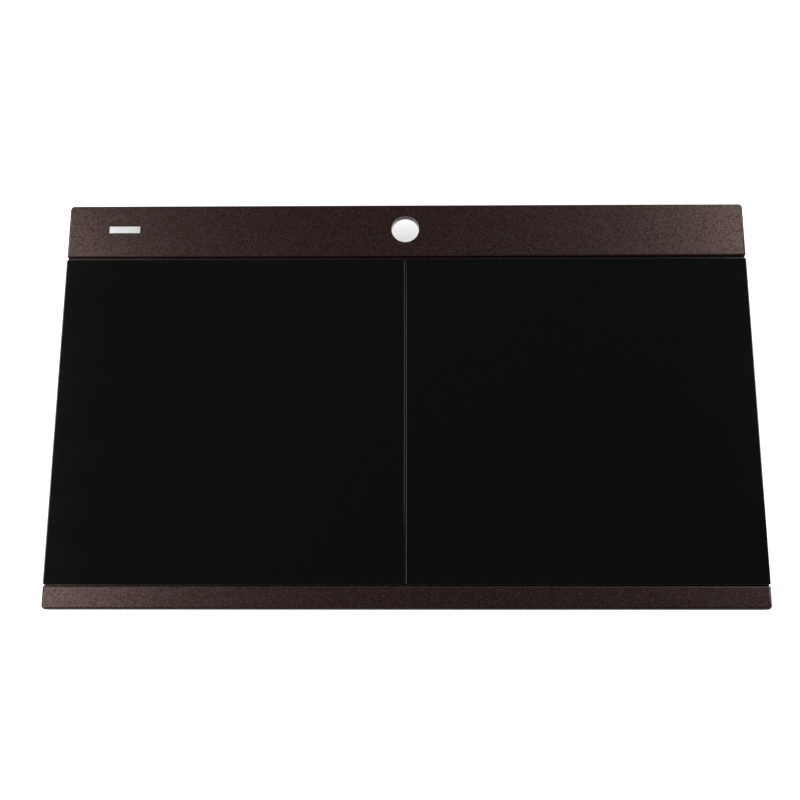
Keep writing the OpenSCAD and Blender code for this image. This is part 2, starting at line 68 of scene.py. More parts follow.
# %% [markdown]
# The camera
#
# The photograph looks almost straight down at the sink from a little in front of it. A camera is described by
# where it stands, how it is turned, and its focal length. These values were worked out from the straight edges of
# the rim, whose real lengths are known, so the edges of the model fall on the edges in the picture. Guessing them
# by eye would also work, but the covers' slightly converging sides show even a small error.

# %% Stand the camera above the sink
FOCAL_MM = 50.49
SENSOR_MM = 36
CAMERA_PLACE = (0.01089, -0.32509, 1.3525)
CAMERA_TURN = (0.23692, 0.01265, 0.00121)


def put(name, data):
    """Puts a camera, a lamp or a mesh into the scene as an object."""
    made = bpy.data.objects.new(name, data)
    bpy.context.scene.collection.objects.link(made)
    return made


camera = put("camera", bpy.data.cameras.new("camera"))
camera.data.lens = FOCAL_MM
camera.data.sensor_width = SENSOR_MM
camera.location = CAMERA_PLACE
camera.rotation_euler = CAMERA_TURN
bpy.context.scene.camera = camera
print("camera", round(camera.location.z - cad_box[1].z, 3), "m above the rim")

# %% [markdown]
# Sockets that can be added and multiplied
#
# A finish is a graph of nodes, and a graph is slow to write by hand. Here a Value stands for one output socket,
# and adding or multiplying Values makes the Math node and its links. The formulas then read like ordinary
# arithmetic. Every other node comes from one method, Graph.node, which takes the node's type, its settings and
# what goes into its sockets. The world's sky is such a graph too.


# %% Value, Graph and Finish
class Value:
    """One output socket of a graph. Arithmetic on values makes Math nodes."""

    def __init__(self, graph, socket):
        self.graph = graph
        self.socket = socket

    def math(self, operation, *others):
        terms = (self,) + others
        return self.graph.node("ShaderNodeMath", {"operation": operation}, dict(enumerate(terms)))

    def __add__(self, other):
        return self.math("ADD", other)

    def __sub__(self, other):
        return self.math("SUBTRACT", other)

    def __rsub__(self, other):
        return self.math("MULTIPLY_ADD", -1, other)

    def __mul__(self, other):
        return self.math("MULTIPLY", other)

    __radd__ = __add__
    __rmul__ = __mul__


class Graph:
    """The nodes of a material or a world. Its shader takes what is fed to it."""

    def __init__(self, owner, shader):
        owner.use_nodes = True
        self.tree = owner.node_tree
        self.shader = self.tree.nodes[shader]

    def node(self, kind, settings, sockets, output=0):
        made = self.tree.nodes.new(kind)
        for name, value in settings.items():
            if name == "stops":
                set_stops(made.color_ramp, value)
            else:
                setattr(made, name, value)
        for name, value in sockets.items():
            if isinstance(value, Value):
                self.tree.links.new(value.socket, made.inputs[name])
            else:
                made.inputs[name].default_value = value
        return Value(self, made.outputs[output])

    def feed(self, socket, value):
        self.tree.links.new(value.socket, self.shader.inputs[socket])


class Finish(Graph):
    """A material made of nodes. Constants are set on the shader's own sockets."""

    def __init__(self, name, constants):
        self.material = bpy.data.materials.new(name)
        super().__init__(self.material, "Principled BSDF")
        for socket, value in constants.items():
            self.shader.inputs[socket].default_value = value
        self.place = self.node("ShaderNodeTexCoord", {}, {}, "Object")


def set_stops(ramp, stops):
    while len(ramp.elements) < len(stops):
        ramp.elements.new(1)
    for element, (at, colour) in zip(ramp.elements, stops):
        element.position = at
        element.color = colour


print("the shader helpers are ready")

# %% [markdown]
# A small box of textures
#
# Most finishes need the same few ingredients: a noise, the same noise drawn out into streaks, grains of random
# brightness, a blend of two colours, and a bump. Each gets a short function, so that a finish can be read as a
# recipe. All of them read Object coordinates. Every piece keeps its object at the origin, so a length in a texture
# is a length in metres on the real thing.


# %% Noise, grains, blends and bumps
def noise(finish, scale, detail, where=None):
    where = where or finish.place
    return finish.node("ShaderNodeTexNoise", {}, {"Vector": where, "Scale": scale, "Detail": detail})


def streaks(finish, scale, detail):
    """A noise drawn out into lines, by object coordinates that are scaled apart."""
    apart = finish.node("ShaderNodeMapping", {}, {"Vector": finish.place, "Scale": scale})
    return noise(finish, 1, detail, apart)


def grains(finish, scale):
    """A random brightness for each grain of about 1 / scale metres."""
    colour = finish.node("ShaderNodeTexVoronoi", {}, {"Vector": finish.place, "Scale": scale}, "Color")
    return finish.node("ShaderNodeSeparateColor", {}, {0: colour})


def ramp(graph, value, stops):
    return graph.node("ShaderNodeValToRGB", {"stops": stops}, {0: value})


def grey(level):
    return (level, level, level, 1)


def blend(graph, share, first, second):
    return graph.node("ShaderNodeMix", {"data_type": "RGBA"}, {0: share, 6: first, 7: second}, 2)


def bump(finish, height, depth, strength):
    sockets = {"Height": height, "Distance": depth, "Strength": strength}
    finish.feed("Normal", finish.node("ShaderNodeBump", {}, sockets))


def turned_lines(finish, centre, fineness):
    """The fine rings that a lathe or a polishing wheel leaves about an upright axis."""
    middle = (-centre[0], -centre[1], 0)
    about = finish.node("ShaderNodeMapping", {}, {"Vector": finish.place, "Location": middle})
    x, y, z = (finish.node("ShaderNodeSeparateXYZ", {}, {0: about}, axis) for axis in range(3))
    radius = (x * x + y * y).math("SQRT")
    rings = finish.node("ShaderNodeCombineXYZ", {}, {0: radius * fineness, 1: z * fineness})
    return noise(finish, 1, 3, rings)


print("the textures are ready")

# %% [markdown]
# Brown composite
#
# The body is cast from crushed quartz bound in brown resin. From a step away it is a dark, even brown. Close up it
# shows sand-sized grains: most are brown, a few nearly black and a few pale. A photograph of the material could be
# wrapped round the body, but a Voronoi texture gives such grains at any scale, with no seams: each cell is one
# grain with a random brightness, and a ramp turns that brightness into a colour. The resin is satin, and its brown
# tints what it reflects. Each coarse grain is also polished a little more or less than the next. A clear coat whose
# weight is the grain's brightness shows that, and makes the surface sparkle faintly where a lamp shines on it.

# %% The composite finish
FINE_GRAIN = 1500
COARSE_GRAIN = 640
PALE_QUARTZ = (0.055, 0.039, 0.034, 1)
DARK_RESIN = (0.0110, 0.0052, 0.0044, 1)


def composite():
    resin = {"IOR": 1.38, "Specular Tint": (1.0, 0.537, 0.451, 1)}
    polish = {"Coat IOR": 1.452, "Coat Roughness": 0.31}
    finish = Finish("brown_composite", resin | polish)
    fine = grains(finish, FINE_GRAIN)
    coarse = grains(finish, COARSE_GRAIN)
    browns = [
        (0.0, (0.006, 0.0028, 0.0024, 1)),
        (0.16, (0.0125, 0.0060, 0.0050, 1)),
        (0.84, (0.0150, 0.0074, 0.0064, 1)),
        (0.98, (0.052, 0.036, 0.032, 1)),
    ]
    brown = ramp(finish, fine, browns)
    specks = ramp(finish, coarse, [(0.94, grey(0)), (0.97, grey(1))])
    cloud = noise(finish, 18, 3)
    mottled = blend(finish, cloud * 0.25, brown, DARK_RESIN)
    finish.feed("Base Color", blend(finish, specks * 0.2, mottled, PALE_QUARTZ))
    finish.feed("Coat Weight", coarse)
    finish.feed("Roughness", 0.26 + fine * 0.08 + cloud * 0.03)
    bump(finish, noise(finish, 750, 3), 0.00014, 0.6)
    return finish.material


body_composite = composite()
print("made", body_composite.name)

# %% [markdown]
# Black glass
#
# The covers are toughened glass, coloured black right through, with polished faces and ground edges. The face is
# almost a black mirror, so what it needs most is something dark to reflect. A very faint film of wiping marks
# changes its roughness, and a slight waviness bends what it mirrors. The ground edges scatter light, which makes
# them grey lines, so they get a second finish of their own.

# %% The glass finishes
GLASS_IOR = 1.5


def black_glass():
    finish = Finish("cover_glass", {"Base Color": (0.0042, 0.0042, 0.0044, 1), "IOR": GLASS_IOR})
    smears = streaks(finish, (9, 60, 60), 4)
    finish.feed("Roughness", 0.03 + smears * 0.05)
    bump(finish, noise(finish, 5, 1), 0.00002, 0.3)
    return finish.material


def ground_glass():
    finish = Finish("ground_glass_edge", {"IOR": GLASS_IOR})
    grit = noise(finish, 2600, 3)
    finish.feed("Base Color", ramp(finish, grit, [(0.3, grey(0.010)), (0.8, grey(0.035))]))
    finish.feed("Roughness", 0.18 + grit * 0.2)
    bump(finish, grit, 0.00004, 0.5)
    return finish.material


glass_face = black_glass()
glass_edge = ground_glass()
print("made", glass_face.name, "and", glass_edge.name)

# %% [markdown]
# Metals
#
# Every metal here is the same shader with different wear. A stamped steel strainer was brushed while it turned,
# so its lines run round its axis. Chrome is smooth with a trace of waviness. Cast zinc keeps the grain of its
# mould. Plated screws show a faint change of tint. The patterns drive the roughness and a shallow bump, because a
# metal is seen mostly by how it reflects.

# %% The metal finishes
SIDES = ("left", "right")


def drain_of(side):
    """The middle of a strainer, in metres. Everything that is turned on this side has its axis here."""
    low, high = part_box(side + "_strainer")
    return (low + high) / 2


def turned_steel(name, side, colour, roughness, depth):
    finish = Finish(side + "_" + name, {"Metallic": 1})
    lines = turned_lines(finish, drain_of(side), 2600)
    stains = noise(finish, 45, 3)
    darker = tuple(0.82 * c for c in colour)
    finish.feed("Base Color", blend(finish, stains * 0.6, colour + (1,), darker + (1,)))
    finish.feed("Roughness", roughness + lines * 0.18)
    bump(finish, lines, depth, 0.6)
    return finish.material


def brushed_plate(name, colour):
    finish = Finish(name, {"Metallic": 1})
    lines = streaks(finish, (60, 5200, 900), 3)
    finish.feed("Base Color", ramp(finish, lines, [(0.3, colour), (0.75, grey(0.76))]))
    finish.feed("Roughness", 0.30 + lines * 0.15)
    bump(finish, lines, 0.00002, 0.5)
    return finish.material


def chrome(name, colour):
    finish = Finish(name, {"Metallic": 1})
    waves = noise(finish, 60, 1)
    specks = noise(finish, 700, 3)
    finish.feed("Base Color", blend(finish, specks * 0.25, colour, grey(0.44)))
    finish.feed("Roughness", 0.06 + specks * 0.08)
    bump(finish, waves, 0.0001, 0.15)
    return finish.material


def cast_zinc(name, colour, grain):
    finish = Finish(name, {"Metallic": 1})
    skin = noise(finish, grain, 5)
    spangle = grains(finish, grain / 3)
    finish.feed("Base Color", blend(finish, spangle * 0.35, colour, grey(0.30)))
    finish.feed("Roughness", 0.38 + skin * 0.25)
    bump(finish, skin, 0.00015, 0.5)
    return finish.material


def plated_screw():
    finish = Finish("plated_screw", {"Metallic": 1})
    tint = noise(finish, 240, 2)
    finish.feed("Base Color", blend(finish, tint, (0.60, 0.60, 0.62, 1), (0.60, 0.55, 0.42, 1)))
    finish.feed("Roughness", 0.24 + noise(finish, 1500, 2) * 0.2)
    return finish.material


def turned_brass():
    finish = Finish("turned_brass", {"Metallic": 1})
    lines = streaks(finish, (900, 900, 5000), 2)
    finish.feed("Base Color", blend(finish, lines, (0.62, 0.45, 0.18, 1), (0.45, 0.31, 0.12, 1)))
    finish.feed("Roughness", 0.25 + lines * 0.25)
    bump(finish, lines, 0.00006, 0.5)
    return finish.material


strainer_steel = {s: turned_steel("strainer_steel", s, (0.60, 0.60, 0.60), 0.20, 0.00002) for s in SIDES}
basket_steel = {s: turned_steel("basket_steel", s, (0.64, 0.64, 0.63), 0.16, 0.000015) for s in SIDES}
knob_steel = {s: turned_steel("knob_steel", s, (0.68, 0.68, 0.68), 0.08, 0.00001) for s in SIDES}
badge_metal = brushed_plate("badge_metal", (0.62, 0.62, 0.62, 1))
tube_chrome = chrome("tube_chrome", (0.56, 0.565, 0.57, 1))
nut_chrome = chrome("nut_chrome", (0.54, 0.545, 0.55, 1))
locknut_zinc = cast_zinc("locknut_zinc", (0.44, 0.44, 0.44, 1), 700)
clip_zinc = cast_zinc("clip_zinc", (0.42, 0.43, 0.45, 1), 900)
screw_steel = plated_screw()
insert_brass = turned_brass()
print("made the metals")

# %% [markdown]
# Rubber, fibre and nylon
#
# The washers and seals are the plain materials of plumbing. Moulded rubber is nearly black, matt, and a little
# dusty. Vulcanised fibre is pressed from paper, so short fibres lie in it every way. Nylon is off-white and lets a
# little light in, which Subsurface Weight gives.


# %% The soft finishes
def rubber(name, level, grain):
    finish = Finish(name, {"IOR": 1.45})
    skin = noise(finish, grain, 4)
    dust = noise(finish, 120, 3)
    finish.feed("Base Color", ramp(finish, dust, [(0.35, grey(level)), (0.8, grey(level * 1.9))]))
    finish.feed("Roughness", 0.62 + skin * 0.25)
    bump(finish, skin, 0.0001, 0.5)
    return finish.material


def foam():
    finish = Finish("seal_foam", {"Roughness": 0.9})
    cells = finish.node("ShaderNodeTexVoronoi", {}, {"Vector": finish.place, "Scale": 1700})
    finish.feed("Base Color", ramp(finish, cells, [(0.1, grey(0.018)), (0.7, grey(0.045))]))
    bump(finish, cells, 0.0003, 0.7)
    return finish.material


def pressed_fibre():
    finish = Finish("pressed_fibre", {})
    felt = (streaks(finish, (300, 2600, 2600), 3) + streaks(finish, (2600, 300, 2600), 3)) * 0.5
    finish.feed("Base Color", ramp(finish, felt, [(0.3, (0.30, 0.15, 0.075, 1)), (0.7, (0.50, 0.31, 0.17, 1))]))
    finish.feed("Roughness", 0.7 + felt * 0.2)
    bump(finish, felt, 0.0001, 0.6)
    return finish.material


def nylon():
    finish = Finish("nylon", {"Subsurface Weight": 0.15, "Subsurface Radius": (0.002, 0.002, 0.002)})
    skin = noise(finish, 500, 2)
    finish.feed("Base Color", blend(finish, skin, (0.86, 0.86, 0.82, 1), (0.78, 0.78, 0.73, 1)))
    finish.feed("Roughness", 0.38 + skin * 0.2)
    return finish.material


black_rubber = rubber("black_rubber", 0.022, 1400)
pad_silicone = rubber("pad_silicone", 0.035, 2000)
seal_foam = foam()
washer_fibre = pressed_fibre()
washer_nylon = nylon()
print("made the soft finishes")

# %% [markdown]
# First coat
#
# Before any piece is modelled again, every solid of the engineering model gets its finish. That way the picture is
# complete from the start, and each later step only improves on it. The same table names each finish's slot, and every
# new piece looks up its finish by the node that it stands for.

# %% Give each CAD node its finish
CLIPS = range(1, 9)

coats = {
    "sink_body": (body_composite, "composite"),
    "rim_seal": (seal_foam, "seal_foam"),
    "badge_plate": (badge_metal, "badge_metal"),
    "clip_screws": (screw_steel, "screw_steel"),
    "clip_inserts": (insert_brass, "insert_brass"),
}
for side in SIDES:
    coats |= {
        side + "_glass_cover": (glass_face, "black_glass"),
        side + "_cover_pads": (pad_silicone, "silicone"),
        side + "_strainer": (strainer_steel[side], "strainer_steel"),
        side + "_seat_gasket": (black_rubber, "black_rubber"),
        side + "_rubber_washer": (black_rubber, "black_rubber"),
        side + "_fibre_washer": (washer_fibre, "fibre"),
        side + "_locknut": (locknut_zinc, "locknut_zinc"),
        side + "_basket": (basket_steel[side], "basket_steel"),
        side + "_basket_knob": (knob_steel[side], "knob_steel"),
        side + "_basket_stopper": (black_rubber, "black_rubber"),
        side + "_tailpiece": (tube_chrome, "tube_chrome"),
        side + "_tailpiece_washer": (washer_nylon, "nylon"),
        side + "_coupling_nut": (nut_chrome, "nut_chrome"),
    }
coats |= {"clip_%d" % number: (clip_zinc, "clip_zinc") for number in CLIPS}
for name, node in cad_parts.items():
    node.data.materials.clear()
    node.data.materials.append(coats[name][0])
print("finished", len(coats), "nodes")

# %% [markdown]
# The floor
#
# The sink stands in front of plain white, as in a catalogue. A white floor that is bright enough by light alone would
# throw too much light back on the object. So the floor is a pale grey, and only the camera sees a glow on it that
# lifts it to white. Reflections see a weaker glow. For the camera the glow fades out under and just behind the sink,
# which paints a shadow where a real floor would lie in shadow. Through the tap hole one sees the edge of that painted
# shadow.

# %% Lay the floor
FLOOR_GAP = 0.0002
FLOOR_HALF = 30
FLOOR_GREY = 0.45
GLOW = 1
MIRRORED_GLOW = 0.55
# Where the painted shadow on the floor's glow is full, where it ends, and where its middle lies.
SHADE_FULL = (0.40, 0.148)
SHADE_END = (0.54, 0.362)
SHADE_CENTRE = (0, 0.125)


def shade_along(finish, axis):
    """1 near the shade's centre along one axis, falling smoothly to 0 at its end."""
    offset = finish.node("ShaderNodeSeparateXYZ", {}, {0: finish.place}, axis) - SHADE_CENTRE[axis]
    reach = {"From Min": SHADE_FULL[axis], "From Max": SHADE_END[axis], "To Min": 1, "To Max": 0}
    sockets = {"Value": offset.math("ABSOLUTE")} | reach
    return finish.node("ShaderNodeMapRange", {"interpolation_type": "SMOOTHSTEP"}, sockets)


def pale_floor():
    matt = {"Base Color": grey(FLOOR_GREY), "Roughness": 1, "Specular IOR Level": 0}
    finish = Finish("pale_floor", matt | {"Emission Strength": 1})
    rays = ("Is Camera Ray", "Is Glossy Ray", "Is Transmission Ray")
    camera_ray, glossy, through = (finish.node("ShaderNodeLightPath", {}, {}, ray) for ray in rays)
    # Painted shadow: for the camera the glow is taken away under and just behind the sink.
    shade = shade_along(finish, 0) * shade_along(finish, 1)
    finish.feed("Emission Color", camera_ray * (1 - shade) * GLOW + (glossy + through) * MIRRORED_GLOW)
    return finish.material


def as_data(mesh, name):
    """The data of an object, made from a bmesh that is used up."""
    data = bpy.data.meshes.new(name)
    mesh.to_mesh(data)
    mesh.free()
    return data


ground = bmesh.new()
bmesh.ops.create_grid(ground, x_segments=1, y_segments=1, size=FLOOR_HALF)
bmesh.ops.translate(ground, verts=ground.verts, vec=(0, 0, cad_box[0].z - FLOOR_GAP))
floor = put("floor", as_data(ground, "floor"))
floor.data.materials.append(pale_floor())
print("floor at", round(cad_box[0].z, 4))

# %% [markdown]
# Light
#
# In the photograph the brown deck is dark in the middle and paler toward both ends, and the black glass shows no
# reflection at all. So two large soft boxes hang level at the left and the right, just outside the part of the
# ceiling that the glass mirrors. The satin composite spreads its reflection wider than the glass, so it catches
# the left box at its left end and the right box at its right end. Everything between the boxes stays dark. The
# world is a gradient, pale round the horizon and dark overhead, and the camera itself sees it as white.

# %% Hang the lamps and paint the world
BOX_OUT = 1.68
BOX_UP = 1.8
BOX_WIDE = 1.2
SKY_LEVELS = ((0.0, 0.95), (0.25, 0.8), (0.5, 0.1), (0.8, 0.012))


def soft_box(name, out, back, length, power):
    """A level lamp beside the sink. Its length runs from front to back."""
    lamp = bpy.data.lights.new(name, "AREA")
    lamp.shape = "RECTANGLE"
    lamp.size, lamp.size_y = BOX_WIDE, length
    lamp.energy = power
    put(name, lamp).location = (out, back, BOX_UP)


soft_box("left_box", -BOX_OUT, 0.08, 1.87, 60)
soft_box("right_box", BOX_OUT, 1.38, 2.4, 62)

world = bpy.data.worlds.new("studio")
bpy.context.scene.world = world
sky = Graph(world, "Background")
direction = sky.node("ShaderNodeTexCoord", {}, {}, "Generated")
upward = sky.node("ShaderNodeSeparateXYZ", {}, {0: direction}, "Z")
gradient = ramp(sky, upward, [(at, grey(level)) for at, level in SKY_LEVELS])
camera_ray = sky.node("ShaderNodeLightPath", {}, {}, "Is Camera Ray")
sky.feed("Color", blend(sky, camera_ray, gradient, grey(1)))
bpy.context.scene.view_settings.view_transform = "Standard"
print("lit")

# %% [markdown]
# Shapes from outlines
#
# Nearly every part of a sink is either turned, such as a washer, or is an outline carried round a rectangle with
# round corners, such as a bowl. Both can be drawn as one side outline: a short list of corners, each with its own
# rounding. Spinning the outline gives the turned part. A straight run, a quarter spin and another straight run,
# mirrored twice, give the framed one. Modelling with these outlines keeps every soft edge at its real radius. The
# pieces are drawn in millimetres, the unit of the engineering drawing, and are made metres when they are finished.

# %% Outlines with round corners
MM = 0.001
TINY = 0.0001


def place(node):
    """The lowest and highest corner of a node of the engineering model, in millimetres."""
    low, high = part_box(node)
    return low / MM, high / MM


def heights(node):
    """How low and how high a node reaches."""
    return tuple(corner.z for corner in place(node))


def rounded(corners, steps=5):
    """The points of an outline through corners (across, height, rounding)."""
    points = []
    for i, (across, height, rounding) in enumerate(corners):
        here = Vector((across, height))
        if not rounding:
            points.append(here)
            continue
        back = (Vector(corners[i - 1][:2]) - here).normalized()
        ahead = (Vector(corners[(i + 1) % len(corners)][:2]) - here).normalized()
        half = back.angle(ahead) / 2
        middle = here + (back + ahead).normalized() * rounding / math.sin(half)
        run = rounding / math.tan(half)
        start = (here + back * run - middle).normalized()
        end = (here + ahead * run - middle).normalized()
        points += [middle + start.slerp(end, step / steps) * rounding for step in range(steps + 1)]
    return points


def band(inner, outer, low, high, outer_edge, inner_edge=0):
    """An outline with four corners, between two distances from the axis and two heights."""
    return [(inner, low, inner_edge), (outer, low, outer_edge), (outer, high, outer_edge), (inner, high, inner_edge)]


def drawn(mesh, corners, out, closed, steps):
    """Draws the outline in the XZ plane, with its axis at x = out."""
    verts = [mesh.verts.new((out + point.x, 0, point.y)) for point in rounded(corners, steps)]
    ends = verts[1:] + verts[:1] if closed else verts[1:]
    return verts + [mesh.edges.new(pair) for pair in zip(verts, ends)]


def whole(mesh):
    """Merges doubles, fills the open ends with flat faces and points every face outwards."""
    bmesh.ops.remove_doubles(mesh, verts=mesh.verts, dist=TINY)
    bmesh.ops.holes_fill(mesh, edges=mesh.edges, sides=0)
    bmesh.ops.recalc_face_normals(mesh, faces=mesh.faces)
    return mesh


print("outlines are drawn in steps of a rounding's arc")

# %% Turned solids and framed solids
UP = (0, 0, 1)
AROUND = 96
AROUND_SMALL = 48
AROUND_CORNER = 12


def turned(corners, closed=False, around=AROUND, steps=5):
    """The outline spun once about the upright axis."""
    mesh = bmesh.new()
    line = drawn(mesh, corners, 0, closed, steps)
    bmesh.ops.spin(mesh, geom=line, cent=(0, 0, 0), axis=UP, angle=math.tau, steps=around, use_merge=True)
    return whole(mesh)


def framed(corners, core, closed=False, around=AROUND_CORNER, steps=5):
    """The outline carried round a rectangle. The corners' arcs stand on the corners of core, its half size."""
    mesh = bmesh.new()
    line = drawn(mesh, corners, core[0], closed, steps)
    run = {"cent": (0, 0, 0), "axis": UP, "angle": 0, "steps": 1}
    line = bmesh.ops.spin(mesh, geom=line, dvec=(0, core[1], 0), **run)["geom_last"]
    centre = (core[0], core[1], 0)
    line = bmesh.ops.spin(mesh, geom=line, cent=centre, axis=UP, angle=math.pi / 2, steps=around)["geom_last"]
    bmesh.ops.spin(mesh, geom=line, dvec=(-core[0], 0, 0), **run)
    for axis in "XY":
        quarter = mesh.verts[:] + mesh.edges[:] + mesh.faces[:]
        bmesh.ops.mirror(mesh, geom=quarter, matrix=Matrix.Identity(4), merge_dist=TINY, axis=axis)
    return whole(mesh)


print("a full turn has", AROUND, "steps, a corner", AROUND_CORNER)

# %% [markdown]
# Joining, cutting and finishing a piece
#
# A real body is moulded in one shot, but in a program it is easier to add simple solids together and to cut others
# away, as a machinist does. Blender's Boolean modifier does both. Its exact solver is slower than the others, and was
# chosen because it also copes with faces that only just touch. A piece is finished by one function. It smooths the
# shading except at sharp edges, weights the normals so that wide flat faces stay flat beside narrow round edges,
# hangs the piece on the body that carries it, and gives it the finish of the node that it stands for, which it then
# hides.

# %% Blocks, joints and cuts
HARD_DEG = 40


def block(low, high):
    """A box between two corners."""
    low, high = Vector(low), Vector(high)
    mesh = bmesh.new()
    bmesh.ops.create_cube(mesh, size=1)
    bmesh.ops.scale(mesh, verts=mesh.verts, vec=high - low)
    bmesh.ops.translate(mesh, verts=mesh.verts, vec=(low + high) / 2)
    return mesh


def plate(corners, thickness):
    """The outline in the XZ plane, drawn out along Y to both sides."""
    mesh = bmesh.new()
    face = mesh.faces.new([mesh.verts.new((point.x, -thickness / 2, point.y)) for point in rounded(corners)])
    grown = bmesh.ops.extrude_face_region(mesh, geom=[face])["geom"]
    far = [part for part in grown if isinstance(part, bmesh.types.BMVert)]
    bmesh.ops.translate(mesh, verts=far, vec=(0, thickness, 0))
    return whole(mesh)


def moved(mesh, where, angle=0):
    """Turns a mesh about the upright axis and carries it to its place."""
    bmesh.ops.rotate(mesh, verts=mesh.verts, cent=(0, 0, 0), matrix=Matrix.Rotation(angle, 3, "Z"))
    bmesh.ops.translate(mesh, verts=mesh.verts, vec=where)
    return mesh


def gathered(meshes):
    """Several closed meshes as one, side by side. They are used up."""
    group = bmesh.new()
    for mesh in meshes:
        data = as_data(mesh, "part")
        group.from_mesh(data)
        bpy.data.meshes.remove(data)
    return group


def combine(stock, tool, operation):
    """Joins tool to stock with UNION, cuts it away with DIFFERENCE, or keeps what both fill. Both are used up."""
    holders = [put("holder", as_data(mesh, "holder")) for mesh in (stock, tool)]
    modifier = holders[0].modifiers.new("combine", "BOOLEAN")
    modifier.object = holders[1]
    modifier.operation = operation
    modifier.solver = "EXACT"
    made = bmesh.new()
    made.from_object(holders[0], bpy.context.evaluated_depsgraph_get())
    for holder in holders:
        data = holder.data
        bpy.data.objects.remove(holder)
        bpy.data.meshes.remove(data)
    return made


def hard(edge):
    return edge.is_manifold and edge.calc_face_angle() > math.radians(HARD_DEG)


def soften(mesh, radius, chosen, steps=3):
    """Rounds each hard edge whose two ends pass the test chosen(a, b)."""
    mesh.normal_update()
    edges = [edge for edge in mesh.edges if hard(edge) and chosen(edge.verts[0].co, edge.verts[1].co)]
    bmesh.ops.bevel(mesh, geom=edges, offset=radius, segments=steps, profile=0.5, affect="EDGES", material=-1)


print("blocks, plates, joints and cuts are ready")

# %% Finish a piece
SHARP_DEG = 35


def piece(name, mesh, node, body="sink", more_finishes=(), sharp=SHARP_DEG):
    """Makes the mesh an object in metres, hangs it on the body that it rides on, and hides the node that it stands
    for.
    """
    bmesh.ops.scale(mesh, verts=mesh.verts, vec=(MM, MM, MM))
    made = put(name, as_data(mesh, name))
    finish, slot = coats[node]
    for material in (finish, *more_finishes):
        made.data.materials.append(material)
    made.data.shade_smooth()
    made.data.set_sharp_from_angle(angle=math.radians(sharp))
    made.modifiers.new("even_normals", "WEIGHTED_NORMAL").keep_sharp = True
    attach(made, body)
    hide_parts(node)
    print(name, len(made.data.polygons), "faces")


print("pieces can be finished")

# %% [markdown]
# The sink's body
#
# The body is one casting. Seen from above it is a slab with a shallow channel across it, between the raised deck
# and the raised rail. The slab could be an extruded side outline, but then its ends would be hard to round. So it
# starts as a framed slab, round on every outer edge, and the channel is cut by a long bar. The bar's own outline
# flares at its top, and the flare leaves the soft arris along the deck and the rail.

# %% The rim and its channel
RAIL_DEPTH = 27.1
DECK_DEPTH = 69.1
CORNER_R = 5
EDGE_R = 3
FOOT_EDGE = 0.8
ARRIS_R = 1.5
CHANNEL_FILLET = 1.2
CHANNEL_END_R = 0.8
PAST = 2
SKIM = 0.01

HALF_W, HALF_D, RIM_TOP = place("sink_body")[1]
CHANNEL_Z = heights("left_cover_pads")[0]
CHANNEL_FRONT = RAIL_DEPTH - HALF_D
CHANNEL_REAR = HALF_D - DECK_DEPTH


def core_of(half_w, half_d, corner):
    """The half size of the rectangle that corner arcs of this radius stand on."""
    return (half_w - corner, half_d - corner)


outline = [(CORNER_R - 1, 0, 0), (CORNER_R, 0, FOOT_EDGE)]
outline += [(CORNER_R, RIM_TOP, EDGE_R), (CORNER_R - EDGE_R, RIM_TOP, 0)]
slab = framed(outline, core_of(HALF_W, HALF_D, CORNER_R))
skim_z = RIM_TOP + SKIM
outline = [
    (CHANNEL_FRONT, CHANNEL_Z, CHANNEL_FILLET),
    (CHANNEL_REAR, CHANNEL_Z, CHANNEL_FILLET),
    (CHANNEL_REAR, skim_z, ARRIS_R),
    (CHANNEL_REAR + 2 * ARRIS_R, skim_z, 0),
    (CHANNEL_REAR + 2 * ARRIS_R, skim_z + PAST, 0),
    (CHANNEL_FRONT - 2 * ARRIS_R, skim_z + PAST, 0),
    (CHANNEL_FRONT - 2 * ARRIS_R, skim_z, 0),
    (CHANNEL_FRONT, skim_z, ARRIS_R),
]
bar = moved(plate(outline, 2 * (HALF_W + PAST)), (0, 0, 0), math.pi / 2)
slab = combine(slab, bar, "DIFFERENCE")


def at_channel_end(a, b):
    """True for the edges where the channel runs out at the left and right ends."""
    return min(abs(a.x), abs(b.x)) > HALF_W - EDGE_R - TINY and min(a.z, b.z) > CHANNEL_Z - TINY


soften(slab, CHANNEL_END_R, at_channel_end)
print("slab", len(slab.faces), "faces")

# %% [markdown]
# The bowls
#
# Each bowl is a wall about 9 mm thick, with wide round corners and a soft turn into its floor. A subdivision
# surface could give that softness, but it would also pull in the upright walls. Here one framed solid is added
# for the outside and another is cut for the inside. The inner one flares at its mouth, so the bowl ends in the
# rolled lip that a casting has, and the outer one flares where it meets the slab, as a fillet does.

# %% Add the bowls' walls and hollow them out
SIDE_LAND = 35
DIVIDER = 30
CHANNEL_LAND = 20.9
WALL = 9
BOWL_CORNER = 60
BOWL_TURN = 38
MOUTH_R = 4
ROOT_R = 5

BOWL_FLOOR = heights("left_strainer")[1]
BOWL_UNDER = heights("left_rubber_washer")[1]
bowl_half = ((HALF_W - SIDE_LAND - DIVIDER / 2) / 2, (CHANNEL_REAR - CHANNEL_FRONT) / 2 - CHANNEL_LAND)
bowl_core = core_of(*bowl_half, BOWL_CORNER)
bowl_x = DIVIDER / 2 + bowl_half[0]
bowl_y = (CHANNEL_FRONT + CHANNEL_REAR) / 2


def bowls(wall, bottom, mouth, flare, top):
    """Both bowls as solids, wider all round by a wall. The flare at the mouth goes on up to the top."""
    reach = BOWL_CORNER + wall
    wide = reach + flare + 1
    outline = [(BOWL_CORNER - BOWL_TURN, bottom, 0), (reach, bottom, BOWL_TURN + wall), (reach, mouth, flare)]
    outline += [(wide, mouth, 0), (wide, top, 0)]
    return gathered([moved(framed(outline, bowl_core, steps=10), (x, bowl_y, 0)) for x in (-bowl_x, bowl_x)])


